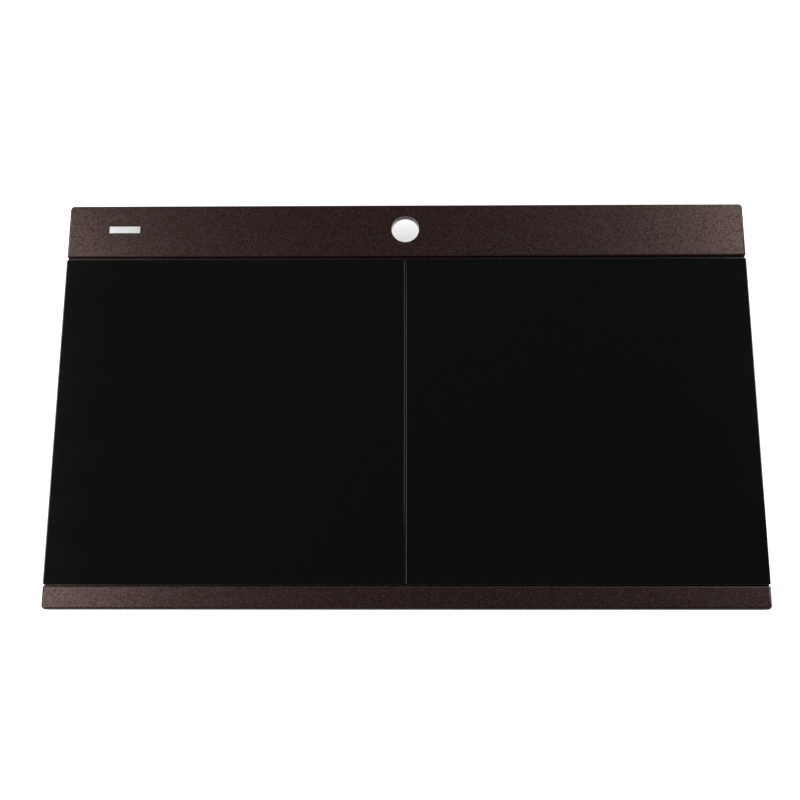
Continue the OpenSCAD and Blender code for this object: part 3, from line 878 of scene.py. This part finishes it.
shell = combine(slab, bowls(WALL, BOWL_UNDER, SKIM, ROOT_R, CHANNEL_Z / 2), "UNION")
mouth_z = CHANNEL_Z + SKIM
shell = combine(shell, bowls(0, BOWL_FLOOR, mouth_z, MOUTH_R, mouth_z + PAST), "DIFFERENCE")
print("shell", len(shell.faces), "faces")

# %% [markdown]
# Under the deck
#
# A casting keeps one wall thickness where it can, so the thick deck is hollow from below. Eight bosses take the
# brass inserts of the clips' screws. The front ones stand close to the bowls, and a rib ties each of them back.
# The seal's groove runs round under the edge of the rim.

# %% Hollow, bosses, ribs and groove
CUT_OUT_LAP = 10
HOLLOW_H = 4
HOLLOW_R = 2
HOLLOW_BAND = 2
HUB_R = 6.5
BOSS_R = 8
BOSS_FILLET = 2
RIB = 5
INSERT_FIT = 0.05
INSERT_SPARE = 1
SEAL_W = 4.5
GROOVE_GAP = 0.2
GROOVE_CORNER = 5
GROOVE_R = 0.4

hollow_front = bowl_y + bowl_half[1] + 2 * WALL
hollow_rear = HALF_D - CUT_OUT_LAP - HOLLOW_BAND
hollow_core = core_of(HALF_W - SIDE_LAND, (hollow_rear - hollow_front) / 2, BOSS_R)
hollow = framed([(BOSS_R, -PAST, 0), (BOSS_R, HOLLOW_H, HOLLOW_R), (BOSS_R - 3, HOLLOW_H, 0)], hollow_core)
shell = combine(shell, moved(hollow, (0, (hollow_front + hollow_rear) / 2, 0)), "DIFFERENCE")

insert_low, insert_high = place("clip_inserts")
boss_z = insert_low.z


def screw_place(number):
    """Where a clip's screw stands. The clip's hub is at the end of its box that is nearer the sink's middle."""
    low, high = place("clip_%d" % number)
    x = low.x + HUB_R if low.x > 0 else high.x - HUB_R
    return (x, (low.y + high.y) / 2, 0)


screw_at = {number: screw_place(number) for number in CLIPS}
insert_r = insert_high.x - max(at[0] for at in screw_at.values())


def boss(root):
    """A boss that grows from the height of root, with a fillet at its root. The outline ends inside the slab."""
    corners = [(BOSS_R - 2, boss_z, 0), (BOSS_R, boss_z, 1), (BOSS_R, root + SKIM, BOSS_FILLET)]
    corners += [(BOSS_R + BOSS_FILLET + 0.5, root + SKIM, 0), (BOSS_R + 1, root + 1.5, 0)]
    return turned(corners, around=AROUND_SMALL)


bosses = [moved(boss(0 if at[1] < 0 else HOLLOW_H), at) for at in screw_at.values()]
shell = combine(shell, gathered(bosses), "UNION")
rib_rear = bowl_y - bowl_half[1] - WALL / 2
ribs = [
    block((x - RIB / 2, y, boss_z + BOSS_R / 2), (x + RIB / 2, rib_rear, 1)) for x, y, _ in screw_at.values() if y < 0
]
shell = combine(shell, gathered(ribs), "UNION")

seal_low, seal_high = place("rim_seal")
seal_core = core_of(seal_high.x + GROOVE_GAP, seal_high.y + GROOVE_GAP, GROOVE_CORNER)
groove_in = GROOVE_CORNER - (SEAL_W + 2 * GROOVE_GAP)
outline = [(groove_in, -PAST, 0), (GROOVE_CORNER, -PAST, 0)]
outline += [(GROOVE_CORNER, seal_high.z, GROOVE_R), (groove_in, seal_high.z, GROOVE_R)]
shell = combine(shell, framed(outline, seal_core, closed=True), "DIFFERENCE")
print("the underside has", len(bosses), "bosses and", len(ribs), "ribs")

# %% [markdown]
# Holes and recesses
#
# The last cuts are made with turned and framed tools: the seat of each strainer, the tap hole with the small
# chamfer that its drill leaves, the holes for the brass inserts, and the shallow recess of the badge plate.

# %% Cut the drains, the tap hole, the insert holes and the badge's recess
DRAIN_R = 45
SEAT_R = 58
SEAT_FILLET = 0.5
SEAT_EDGE = 1.2
TAP_R = 17.5
TAP_INSET = 33
TAP_CHAMFER = 0.8
TAP_EDGE = 0.3
BADGE_GAP = 0.4

drain_at = {s: (drain_of(s).x / MM, drain_of(s).y / MM, 0) for s in SIDES}
SEAT_Z = heights("left_seat_gasket")[0]


def seat_tool():
    rim_z = BOWL_FLOOR + SKIM
    flare = SEAT_R + 2 * SEAT_EDGE
    outline = [(DRAIN_R - 3, BOWL_UNDER - PAST, 0), (DRAIN_R, BOWL_UNDER - PAST, 0)]
    outline += [(DRAIN_R, SEAT_Z, SEAT_FILLET), (SEAT_R, SEAT_Z, SEAT_FILLET)]
    return turned(outline + [(SEAT_R, rim_z, SEAT_EDGE), (flare, rim_z, 0), (flare, rim_z + PAST, 0)])


def tap_tool():
    top = RIM_TOP - TAP_CHAMFER
    flare = TAP_R + TAP_CHAMFER + PAST
    return turned([(TAP_R, -PAST, 0), (TAP_R, top, TAP_EDGE), (flare, RIM_TOP + PAST, 0)])


def insert_tool():
    radius = insert_r + INSERT_FIT
    top = insert_high.z + INSERT_SPARE
    corners = [(radius + PAST + 0.5, boss_z - PAST, 0), (radius, boss_z + 0.5, 0), (radius, top, 0)]
    return turned(corners, around=AROUND_SMALL)


badge_low, badge_high = place("badge_plate")
badge_middle = (badge_low + badge_high) / 2
badge_half = (badge_high - badge_low) / 2
badge_at = (badge_middle.x, badge_middle.y, 0)
recess_r = 2 * BADGE_GAP
recess_core = core_of(badge_half.x + BADGE_GAP, badge_half.y + BADGE_GAP, recess_r)
recess_tool = framed([(recess_r, badge_low.z, 0), (recess_r, RIM_TOP + PAST, 0)], recess_core, around=4)
tools = [moved(seat_tool(), drain_at[s]) for s in SIDES]
tools += [moved(insert_tool(), at) for at in screw_at.values()]
tools += [moved(tap_tool(), (0, HALF_D - TAP_INSET, 0)), moved(recess_tool, badge_at)]
shell = combine(shell, gathered(tools), "DIFFERENCE")
piece("sink_shell", shell, "sink_body")

# %% [markdown]
# Glass covers, pads, badge and seal
#
# Each cover is one sheet of toughened glass. Its corners are round, and its edges are ground round as well, because
# a sharp glass edge chips. The framed solid gives both at once. A box with a Bevel modifier would look the same, but
# here the ground faces can be picked by their normals. The turn from the face into the edge is polished, and catches
# a thin bright line along the seam. Silicone pads under each cover lift it off the channel. The badge is a thin
# plate in its recess, left blank, and the seal is a strip of foam in its groove under the rim.

# %% Model the sheets of glass
GLASS_CORNER = 2
GLASS_ARRIS = 0.7
GROUND_BELOW = 0.8
GLASS_SHARP_DEG = 20


def sheet(low, high):
    """A sheet of glass with round corners and round edges, which are ground but for their turn into the faces."""
    corners = band(GLASS_CORNER - 2 * GLASS_ARRIS, GLASS_CORNER, low.z, high.z, GLASS_ARRIS)
    middle, half = (low + high) / 2, (high - low) / 2
    mesh = framed(corners, core_of(half.x, half.y, GLASS_CORNER))
    mesh.normal_update()
    for face in mesh.faces:
        face.material_index = int(abs(face.normal.z) < GROUND_BELOW)
    return moved(mesh, (middle.x, middle.y, 0))


for side in SIDES:
    node = side + "_glass_cover"
    piece(side + "_sheet", sheet(*place(node)), node, side + "_cover", (glass_edge,), GLASS_SHARP_DEG)

# %% Model the pads, the badge and the seal
PAD_R = 5
PAD_EDGE = 0.25
BADGE_EDGE = 0.2
SEAL_EDGE = 0.4


def disc(radius, low, high, edge, around=AROUND_SMALL):
    """A round plate with soft edges."""
    return turned(band(radius / 2, radius, low, high, edge), around=around)


for side in SIDES:
    low, high = place(side + "_cover_pads")
    spots = [(x, y, 0) for x in (low.x + PAD_R, high.x - PAD_R) for y in (low.y + PAD_R, high.y - PAD_R)]
    pads = gathered([moved(disc(PAD_R, low.z, high.z, PAD_EDGE), spot) for spot in spots])
    piece(side + "_pads", pads, side + "_cover_pads", side + "_cover")

corners = [(0, badge_low.z, 0), (BADGE_GAP, badge_low.z, 0), (BADGE_GAP, badge_high.z, BADGE_EDGE)]
badge = framed(corners + [(0, badge_high.z, 0)], core_of(badge_half.x, badge_half.y, BADGE_GAP), around=5, steps=3)
piece("badge", moved(badge, badge_at), "badge_plate")

seal_r = GROOVE_CORNER - GROOVE_GAP
corners = band(seal_r - SEAL_W, seal_r, seal_low.z, seal_high.z, SEAL_EDGE, SEAL_EDGE)
piece("seal", framed(corners, seal_core, closed=True), "rim_seal")

# %% [markdown]
# Threads and strainers
#
# A basket strainer is pressed and turned from stainless sheet, so its whole section is one outline. Below the bowl
# it carries a coarse thread for the big locknut, and its narrow neck carries a finer one. A thread is a small
# outline that climbs as it turns, which a spin with a lift per step gives. A bump map could fake it in a picture,
# but not along the silhouette. The ridges stay inside the plain cylinders of the engineering model.

# %% Threads, rods and prisms
THREAD_ROOT = 0.4
THREAD_SUNK = 0.2
RIDGE_FOOT = 0.42
RIDGE_CREST = 0.12


def thread(crest, low, high, pitch, around=AROUND_SMALL):
    """A ridge that climbs round the upright axis from low to high. It is sunk a little into the wall behind it."""
    turns = (high - low) / pitch
    steps = round(turns * around)
    foot = crest - THREAD_ROOT - THREAD_SUNK
    section = ((foot, -RIDGE_FOOT), (crest, -RIDGE_CREST), (crest, RIDGE_CREST), (foot, RIDGE_FOOT))
    mesh = bmesh.new()
    line = drawn(mesh, [(across, low + rise * pitch, 0) for across, rise in section], 0, True, 1)
    lift = (0, 0, (high - low) / steps)
    bmesh.ops.spin(mesh, geom=line, cent=(0, 0, 0), axis=UP, angle=turns * math.tau, steps=steps, dvec=lift)
    return whole(mesh)


def rod(radius, low, high, around=32):
    return turned([(radius, low, 0), (radius, high, 0)], around=around)


def prism(sides, radius, low, high):
    """An upright prism with one corner on the +X side."""
    mesh = bmesh.new()
    form = {"segments": sides, "radius1": radius, "radius2": radius, "depth": high - low}
    bmesh.ops.create_cone(mesh, cap_ends=True, **form)
    return moved(mesh, (0, 0, (low + high) / 2), -math.pi / 2)


def ring_about(radius, count, tool, start=0):
    """Copies of a tool round the upright axis, at a radius. The tool is used up."""
    made = []
    for number in range(count):
        angle = math.tau * (number + start) / count
        made.append(moved(tool.copy(), (radius * math.cos(angle), radius * math.sin(angle), 0), angle))
    tool.free()
    return made


def at_drain(side, name, mesh, node, body="sink"):
    """Finishes a piece that was modelled about the upright axis of a drain."""
    piece(side + name, moved(mesh, drain_at[side]), side + node, body)


print("a thread's root is", THREAD_ROOT, "mm below its crest")

# %% Turn the strainers
CUP_R = 42.5
CUP_IN = 40.9
CUP_FLOOR_T = 2.5
FLANGE_R = 57
FLANGE_T = 2
GUIDE_R = 4.5
CUP_HOLES = 6
CUP_HOLE_R = 4.6
CUP_HOLE_AT = 13
NECK_R = 22.5
NECK_IN = 19.9
CUP_PITCH = 3
CUP_PLAIN = (4, 9)
NECK_PITCH = 2
NECK_PLAIN = (1, 2.5)

neck_end = heights("left_strainer")[0]
cup_floor = heights("left_basket_stopper")[0]
cup_end = cup_floor - CUP_FLOOR_T


def strainer():
    """Cup, flange and neck in one outline. The threads leave a plain length at both of their ends."""
    wall, neck = CUP_R - THREAD_ROOT, NECK_R - THREAD_ROOT
    flange = BOWL_FLOOR - FLANGE_T
    outline = [
        (GUIDE_R, cup_floor, 0.3),
        (CUP_IN, cup_floor, 6),
        (CUP_IN, BOWL_FLOOR - 1, 0.6),
        (CUP_IN + 1, BOWL_FLOOR, 0.6),
        (FLANGE_R, BOWL_FLOOR, 0.9),
        (FLANGE_R, flange, 0.8),
        (wall, flange, 0.3),
        (wall, cup_end, 3),
        (neck, cup_end, 1),
        (neck, neck_end, 0.5),
        (NECK_IN, neck_end, 0.5),
        (NECK_IN, cup_end, 0.4),
        (GUIDE_R, cup_end, 0.3),
    ]
    holes = ring_about(CUP_HOLE_AT, CUP_HOLES, rod(CUP_HOLE_R, cup_end - PAST, cup_floor + PAST))
    body = combine(turned(outline, closed=True), gathered(holes), "DIFFERENCE")
    coarse = thread(CUP_R, cup_end + CUP_PLAIN[0], flange - CUP_PLAIN[1], CUP_PITCH, AROUND)
    fine = thread(NECK_R, neck_end + NECK_PLAIN[0], cup_end - NECK_PLAIN[1], NECK_PITCH)
    return gathered([body, coarse, fine])


for side in SIDES:
    at_drain(side, "_sump", strainer(), "_strainer")

# %% [markdown]
# Washers and locknuts
#
# Under the flange lies a thin rubber gasket. Below the bowl come a thick rubber washer, a hard fibre washer that
# lets the locknut turn without dragging the rubber, and the locknut itself. The nut is cast zinc, with six lugs for
# a mallet or a wrench. Rings are turned from a four-cornered outline with soft edges, and the lugs are softened
# blocks that are joined to the nut's ring.

# %% Rings and lugs
WASHER_IN = 43
THREAD_GAP = 0.05
LOCKNUT_R = 52
LOCKNUT_EDGE = 1.2
LOCKNUT_BORE_EDGE = 0.8
LUGS = 6
LUG_W = 9
LUG_R = 58
LUG_ROOT = 2
LUG_INSET = 0.5


def ring(node, inner, edge):
    """A flat ring with soft edges that fills the box of a node."""
    low, high = place(node)
    return turned(band(inner, (high.x - low.x) / 2, low.z, high.z, edge, edge), closed=True)


def locknut():
    low, high = heights("left_locknut")
    outline = band(CUP_R + THREAD_GAP, LOCKNUT_R, low, high, LOCKNUT_EDGE, LOCKNUT_BORE_EDGE)
    reach = (LUG_R - LOCKNUT_R) / 2 + LUG_ROOT
    lug = block((-reach, -LUG_W / 2, low + LUG_INSET), (reach, LUG_W / 2, high - LUG_INSET))
    soften(lug, LOCKNUT_EDGE, lambda a, b: True)
    return combine(turned(outline, closed=True), gathered(ring_about(LUG_R - reach, LUGS, lug)), "UNION")


for side in SIDES:
    for name, node, edge in (("_gasket", "_seat_gasket", 0.25), ("_rubber", "_rubber_washer", 0.6)):
        at_drain(side, name, ring(side + node, WASHER_IN, edge), node)
    at_drain(side, "_fibre", ring(side + "_fibre_washer", WASHER_IN, 0.15), "_fibre_washer")
    at_drain(side, "_big_nut", locknut(), "_locknut")

# %% [markdown]
# Baskets
#
# The basket lifts out to empty it. It is a cup of thin sheet with a flat lip, round-ended slots in its wall and
# two rings of holes in its floor. An Array modifier could repeat the holes, but here each tool is copied round the
# axis and all of them are cut in one go, which keeps the mesh clean. The knob, its post and its collar are turned
# from one bar, and a rubber stopper on the post closes the cup's floor when the basket is pushed down.

# %% Press the baskets
BASKET_R = 33
LIP_R = 39.5
SHEET = 1
SLOTS = 16
SLOT_W = 2.6
SLOT_END = 7
SLOT_ROUND = 0.98
FLOOR_HOLES = 14
FLOOR_HOLE_R = 1.7
HOLE_RINGS = (17, 27)
POST_HOLE_R = 4.25

basket_low, basket_high = heights("left_basket")


def basket():
    """A cup of sheet with a lip. The slots' ends are nearly full half circles."""
    inner = BASKET_R - SHEET
    outline = [
        (POST_HOLE_R, basket_low, 0.2),
        (BASKET_R, basket_low, 3),
        (BASKET_R, basket_high - SHEET, 1),
        (LIP_R, basket_high - SHEET, 0.4),
        (LIP_R, basket_high, 0.4),
        (inner, basket_high, 1),
        (inner, basket_low + SHEET, 2.5),
        (POST_HOLE_R, basket_low + SHEET, 0.2),
    ]
    half, ends = SLOT_W / 2, SLOT_ROUND * SLOT_W / 2
    corners = band(-half, half, basket_low + SLOT_END, basket_high - SLOT_END, ends, ends)
    slot = moved(plate(corners, 6 * SHEET), (0, 0, 0), math.pi / 2)
    tools = ring_about(BASKET_R - SHEET / 2, SLOTS, slot)
    for radius in HOLE_RINGS:
        hole = rod(FLOOR_HOLE_R, basket_low - PAST, basket_low + SHEET + PAST, 20)
        tools += ring_about(radius, FLOOR_HOLES, hole, 0.5)
    return combine(turned(outline, closed=True), gathered(tools), "DIFFERENCE")


for side in SIDES:
    at_drain(side, "_cage", basket(), "_basket", side + "_drain_basket")

# %% Turn the knobs and mould the stoppers
POST_R = 4.2
COLLAR_R = 8
COLLAR_T = 2
KNOB_R = 11
KNOB_H = 9
STOPPER_R = 24
STOPPER_EDGE_H = 2
STOPPER_TAPER = 1.4

post_low, knob_top = heights("left_basket_knob")


def knob():
    """Post, collar and knob in one outline. The knob's flare, side and crown are each a third of its height."""
    collar = basket_low + SHEET
    third = KNOB_H / 3
    outline = [
        (POST_R / 2, post_low, 0),
        (POST_R, post_low, 1.2),
        (POST_R, collar, 0.05),
        (COLLAR_R, collar, 0.05),
        (COLLAR_R, collar + COLLAR_T, 1),
        (POST_R, collar + COLLAR_T, 0.8),
        (POST_R, knob_top - 3 * third, 1),
        (KNOB_R, knob_top - 2 * third, 1.2),
        (KNOB_R, knob_top - third, 2),
        (KNOB_R - third, knob_top, 2.4),
        (POST_R / 2, knob_top, 0),
    ]
    return turned(outline)


def stopper():
    low, high = cup_floor, basket_low
    outline = [(POST_HOLE_R, low, 0.3), (STOPPER_R, low, 0.8), (STOPPER_R, low + STOPPER_EDGE_H, 0.6)]
    return turned(outline + [(STOPPER_R - STOPPER_TAPER, high, 1), (POST_HOLE_R, high, 0.3)], closed=True)


for side in SIDES:
    at_drain(side, "_grip", knob(), "_basket_knob", side + "_drain_basket")
    at_drain(side, "_plug", stopper(), "_basket_stopper", side + "_drain_basket")

# %% [markdown]
# Tailpieces and coupling nuts
#
# A tailpiece is a short chromed tube with a flange on top. The coupling nut catches the flange and draws it up
# against a nylon washer below the strainer's neck. The nut has eight flats for a wrench, and both ends of its
# corners are cut off by a cone, as on a turned nut. An eight-sided prism that is intersected with a turned solid
# gives exactly that curve on each flat.

# %% Tube, washer and nut
TAIL_R = 19.05
TAIL_T = 1.2
TAIL_ROOT = 0.2
TAIL_ROOT_H = 3
TAIL_FLANGE_R = 22.2
TAIL_FLANGE_T = 1.5
TAIL_GAP = 0.3
NUT_R = 29
NUT_FACE_R = 27.3
NUT_FLATS = 8
NUT_CHAMFER = 1.6
NUT_EDGE = 0.8

tail_low, tail_high = heights("left_tailpiece")
flange_low = tail_high - TAIL_FLANGE_T
root_r = TAIL_R + TAIL_ROOT
washer_in = root_r + TAIL_GAP


def tailpiece():
    """A tube with a flange on top. Just below the flange the tube is a little wider."""
    inner = TAIL_R - TAIL_T
    root_low = flange_low - TAIL_ROOT_H
    outline = [
        (inner, tail_low, 0.4),
        (TAIL_R, tail_low, 0.5),
        (TAIL_R, root_low - 2 * TAIL_ROOT, 0.2),
        (root_r, root_low, 0.2),
        (root_r, flange_low, 0.05),
        (TAIL_FLANGE_R, flange_low, 0.4),
        (TAIL_FLANGE_R, tail_high, 0.4),
        (inner, tail_high, 0.8),
    ]
    return turned(outline, closed=True)


def coupling_nut():
    low, high = heights("left_coupling_nut")
    nut = prism(NUT_FLATS, NUT_R, low - PAST, high + PAST)
    soften(nut, NUT_EDGE, lambda a, b: abs(a.z - b.z) > 1)
    round_in = NUT_R / 2
    cone = [(round_in, low, 0), (NUT_FACE_R, low, 0.4), (NUT_R + 1, low + NUT_CHAMFER, 0)]
    cone += [(NUT_R + 1, high - NUT_CHAMFER, 0), (NUT_FACE_R, high, 0.4), (round_in, high, 0)]
    nut = combine(nut, turned(cone), "INTERSECT")
    bore = NECK_R + THREAD_GAP
    hollow = [(washer_in, low - PAST, 0), (washer_in, flange_low, 0.2), (bore, flange_low, 0.2)]
    hollow += [(bore, high - NUT_EDGE, 0.2), (bore + NUT_EDGE + PAST, high + PAST, 0)]
    return combine(nut, turned(hollow), "DIFFERENCE")


for side in SIDES:
    at_drain(side, "_tube", tailpiece(), "_tailpiece")
    at_drain(side, "_washer", ring(side + "_tailpiece_washer", washer_in, 0.3), "_tailpiece_washer")
    at_drain(side, "_flat_nut", coupling_nut(), "_coupling_nut")

# %% [markdown]
# Turning clips
#
# A clip is a small zinc casting: a hub round its screw, an arm with teeth that bite the underside of the worktop,
# and a gusset that stiffens the two. Castings have a radius on every edge, because metal does not fill a sharp
# corner of the mould. The arm is an extruded side outline, intersected with a framed plan, so it gets round corners
# and a soft lower edge. One clip is modelled, and every body gets a turned copy.

# %% Cast the clips
ARM_L = 27
ARM_W = 12
ARM_T = 5
ARM_CORNER = 2
CAST_EDGE = 0.8
TOOTH_L = 5
TOOTH_H = 2
GUSSET_T = 4
GUSSET_EDGE = 0.6
HUB_GAP = 4
HUB_CHAMFER = 0.4
SCREW_R = 2.5
CLIP_FIT = 0.08

arm_low, hub_high = heights("clip_1")
arm_top = arm_low + ARM_T
tooth_top = arm_top + TOOTH_H


def teeth():
    """The arm's top outline over its end, from the tip inwards: three blunt ridges across the arm."""
    start = ARM_L - TOOTH_L
    shares = [(0.86, 0), (0.72, 1), (0.58, 0), (0.42, 0), (0.28, 1), (0.14, 0), (0, 0)]
    return [(start + TOOTH_L * share, tooth_top - drop, 0.2) for share, drop in shares]


def clip():
    outline = [(0, arm_low - PAST, 0), (ARM_L + PAST, arm_low - PAST, 0), (ARM_L + PAST, tooth_top, 0)]
    outline += teeth() + [(ARM_L - TOOTH_L, arm_top, CAST_EDGE), (0, arm_top, 0)]
    arm = plate(outline, ARM_W + PAST)
    half = (ARM_L + HUB_R - 1) / 2
    plan = [(0, arm_low, 0), (ARM_CORNER, arm_low, CAST_EDGE), (ARM_CORNER, tooth_top + 1, 0), (0, tooth_top + 1, 0)]
    plan = framed(plan, core_of(half, ARM_W / 2, ARM_CORNER), around=6)
    arm = combine(arm, moved(plan, (ARM_L - half, 0, 0)), "INTERSECT")
    gusset_top = hub_high - HUB_GAP
    toe = ARM_L - 2 * TOOTH_L
    web = [(0, arm_low + 1, 0), (toe, arm_low + 1, 0), (toe, arm_top - 0.3, 0)]
    web = plate(web + [(HUB_R, gusset_top, 1), (0, gusset_top, 0)], GUSSET_T)
    soften(web, GUSSET_EDGE, lambda a, b: abs(a.y - b.y) < TINY and min(a.x, b.x) > HUB_R - 2, 2)
    body = combine(disc(HUB_R, arm_low, hub_high, CAST_EDGE, 64), arm, "UNION")
    body = combine(body, web, "UNION")
    bore = SCREW_R + CLIP_FIT
    hole = [(bore, arm_low - PAST, 0), (bore, hub_high - HUB_CHAMFER, 0.1)]
    hole.append((bore + HUB_CHAMFER + PAST, hub_high + PAST, 0))
    return combine(body, turned(hole, around=AROUND_SMALL), "DIFFERENCE")


casting = clip()
for number, at in screw_at.items():
    name = "clip_%d" % number
    arm = moved(casting.copy(), at, math.pi if at[0] < 0 else 0)
    piece("casting_%d" % number, arm, name, "turning_" + name)
casting.free()

# %% [markdown]
# Screws and inserts
#
# A socket-head screw goes up through each clip's hub into a threaded brass insert in the boss. The insert was
# moulded in, and two grooves round it keep it from being pulled out. Eight linked copies would take less memory,
# but the engineering model has the screws as one node, so all eight are gathered in one mesh. The same holds for
# the inserts.

# %% Turn the screws and the inserts
HEAD_R = 5
HEAD_H = 4
SOCKET_R = 2.3
SOCKET_DEEP = 2.4
SCREW_PITCH = 0.8
GRIP_LOW = 2
NOTCH_STARTS = (3, 6)
NOTCH_DEEP = 0.4
NOTCH_RISES = (0, 0.4, 1.4, 1.8)

head_low, screw_top = heights("clip_screws")
head_top = head_low + HEAD_H


def screw():
    core = SCREW_R - THREAD_ROOT
    grip = hub_high - GRIP_LOW
    outline = [(HEAD_R / 2, head_low, 0), (HEAD_R, head_low, 0.7), (HEAD_R, head_top, 0.2), (SCREW_R, head_top, 0.3)]
    outline += [(SCREW_R, grip, 0.1), (core, grip + 0.5, 0.1), (core, screw_top, 0.5), (core / 2, screw_top, 0)]
    socket = prism(6, SOCKET_R, head_low - PAST, head_low + SOCKET_DEEP)
    body = combine(turned(outline, around=AROUND_SMALL, steps=3), socket, "DIFFERENCE")
    return gathered([body, thread(SCREW_R, grip + 1, screw_top - 0.8, SCREW_PITCH, 24)])


def insert():
    """A tube with two grooves round it. Each groove's corners rise from where it starts."""
    low, high = insert_low.z, insert_high.z
    bore, neck = SCREW_R + THREAD_GAP, insert_r - NOTCH_DEEP
    outline = [(bore, low, 0.3), (insert_r, low, 0.2)]
    for start in NOTCH_STARTS:
        for across, rise in zip((insert_r, neck, neck, insert_r), NOTCH_RISES):
            outline.append((across, low + start + rise, 0.1))
    outline += [(insert_r, high, 0.2), (bore, high, 0.3)]
    return turned(outline, closed=True, around=AROUND_SMALL, steps=3)


for name, make, node in (("screws", screw, "clip_screws"), ("inserts", insert, "clip_inserts")):
    piece(name, gathered([moved(make(), at) for at in screw_at.values()]), node)
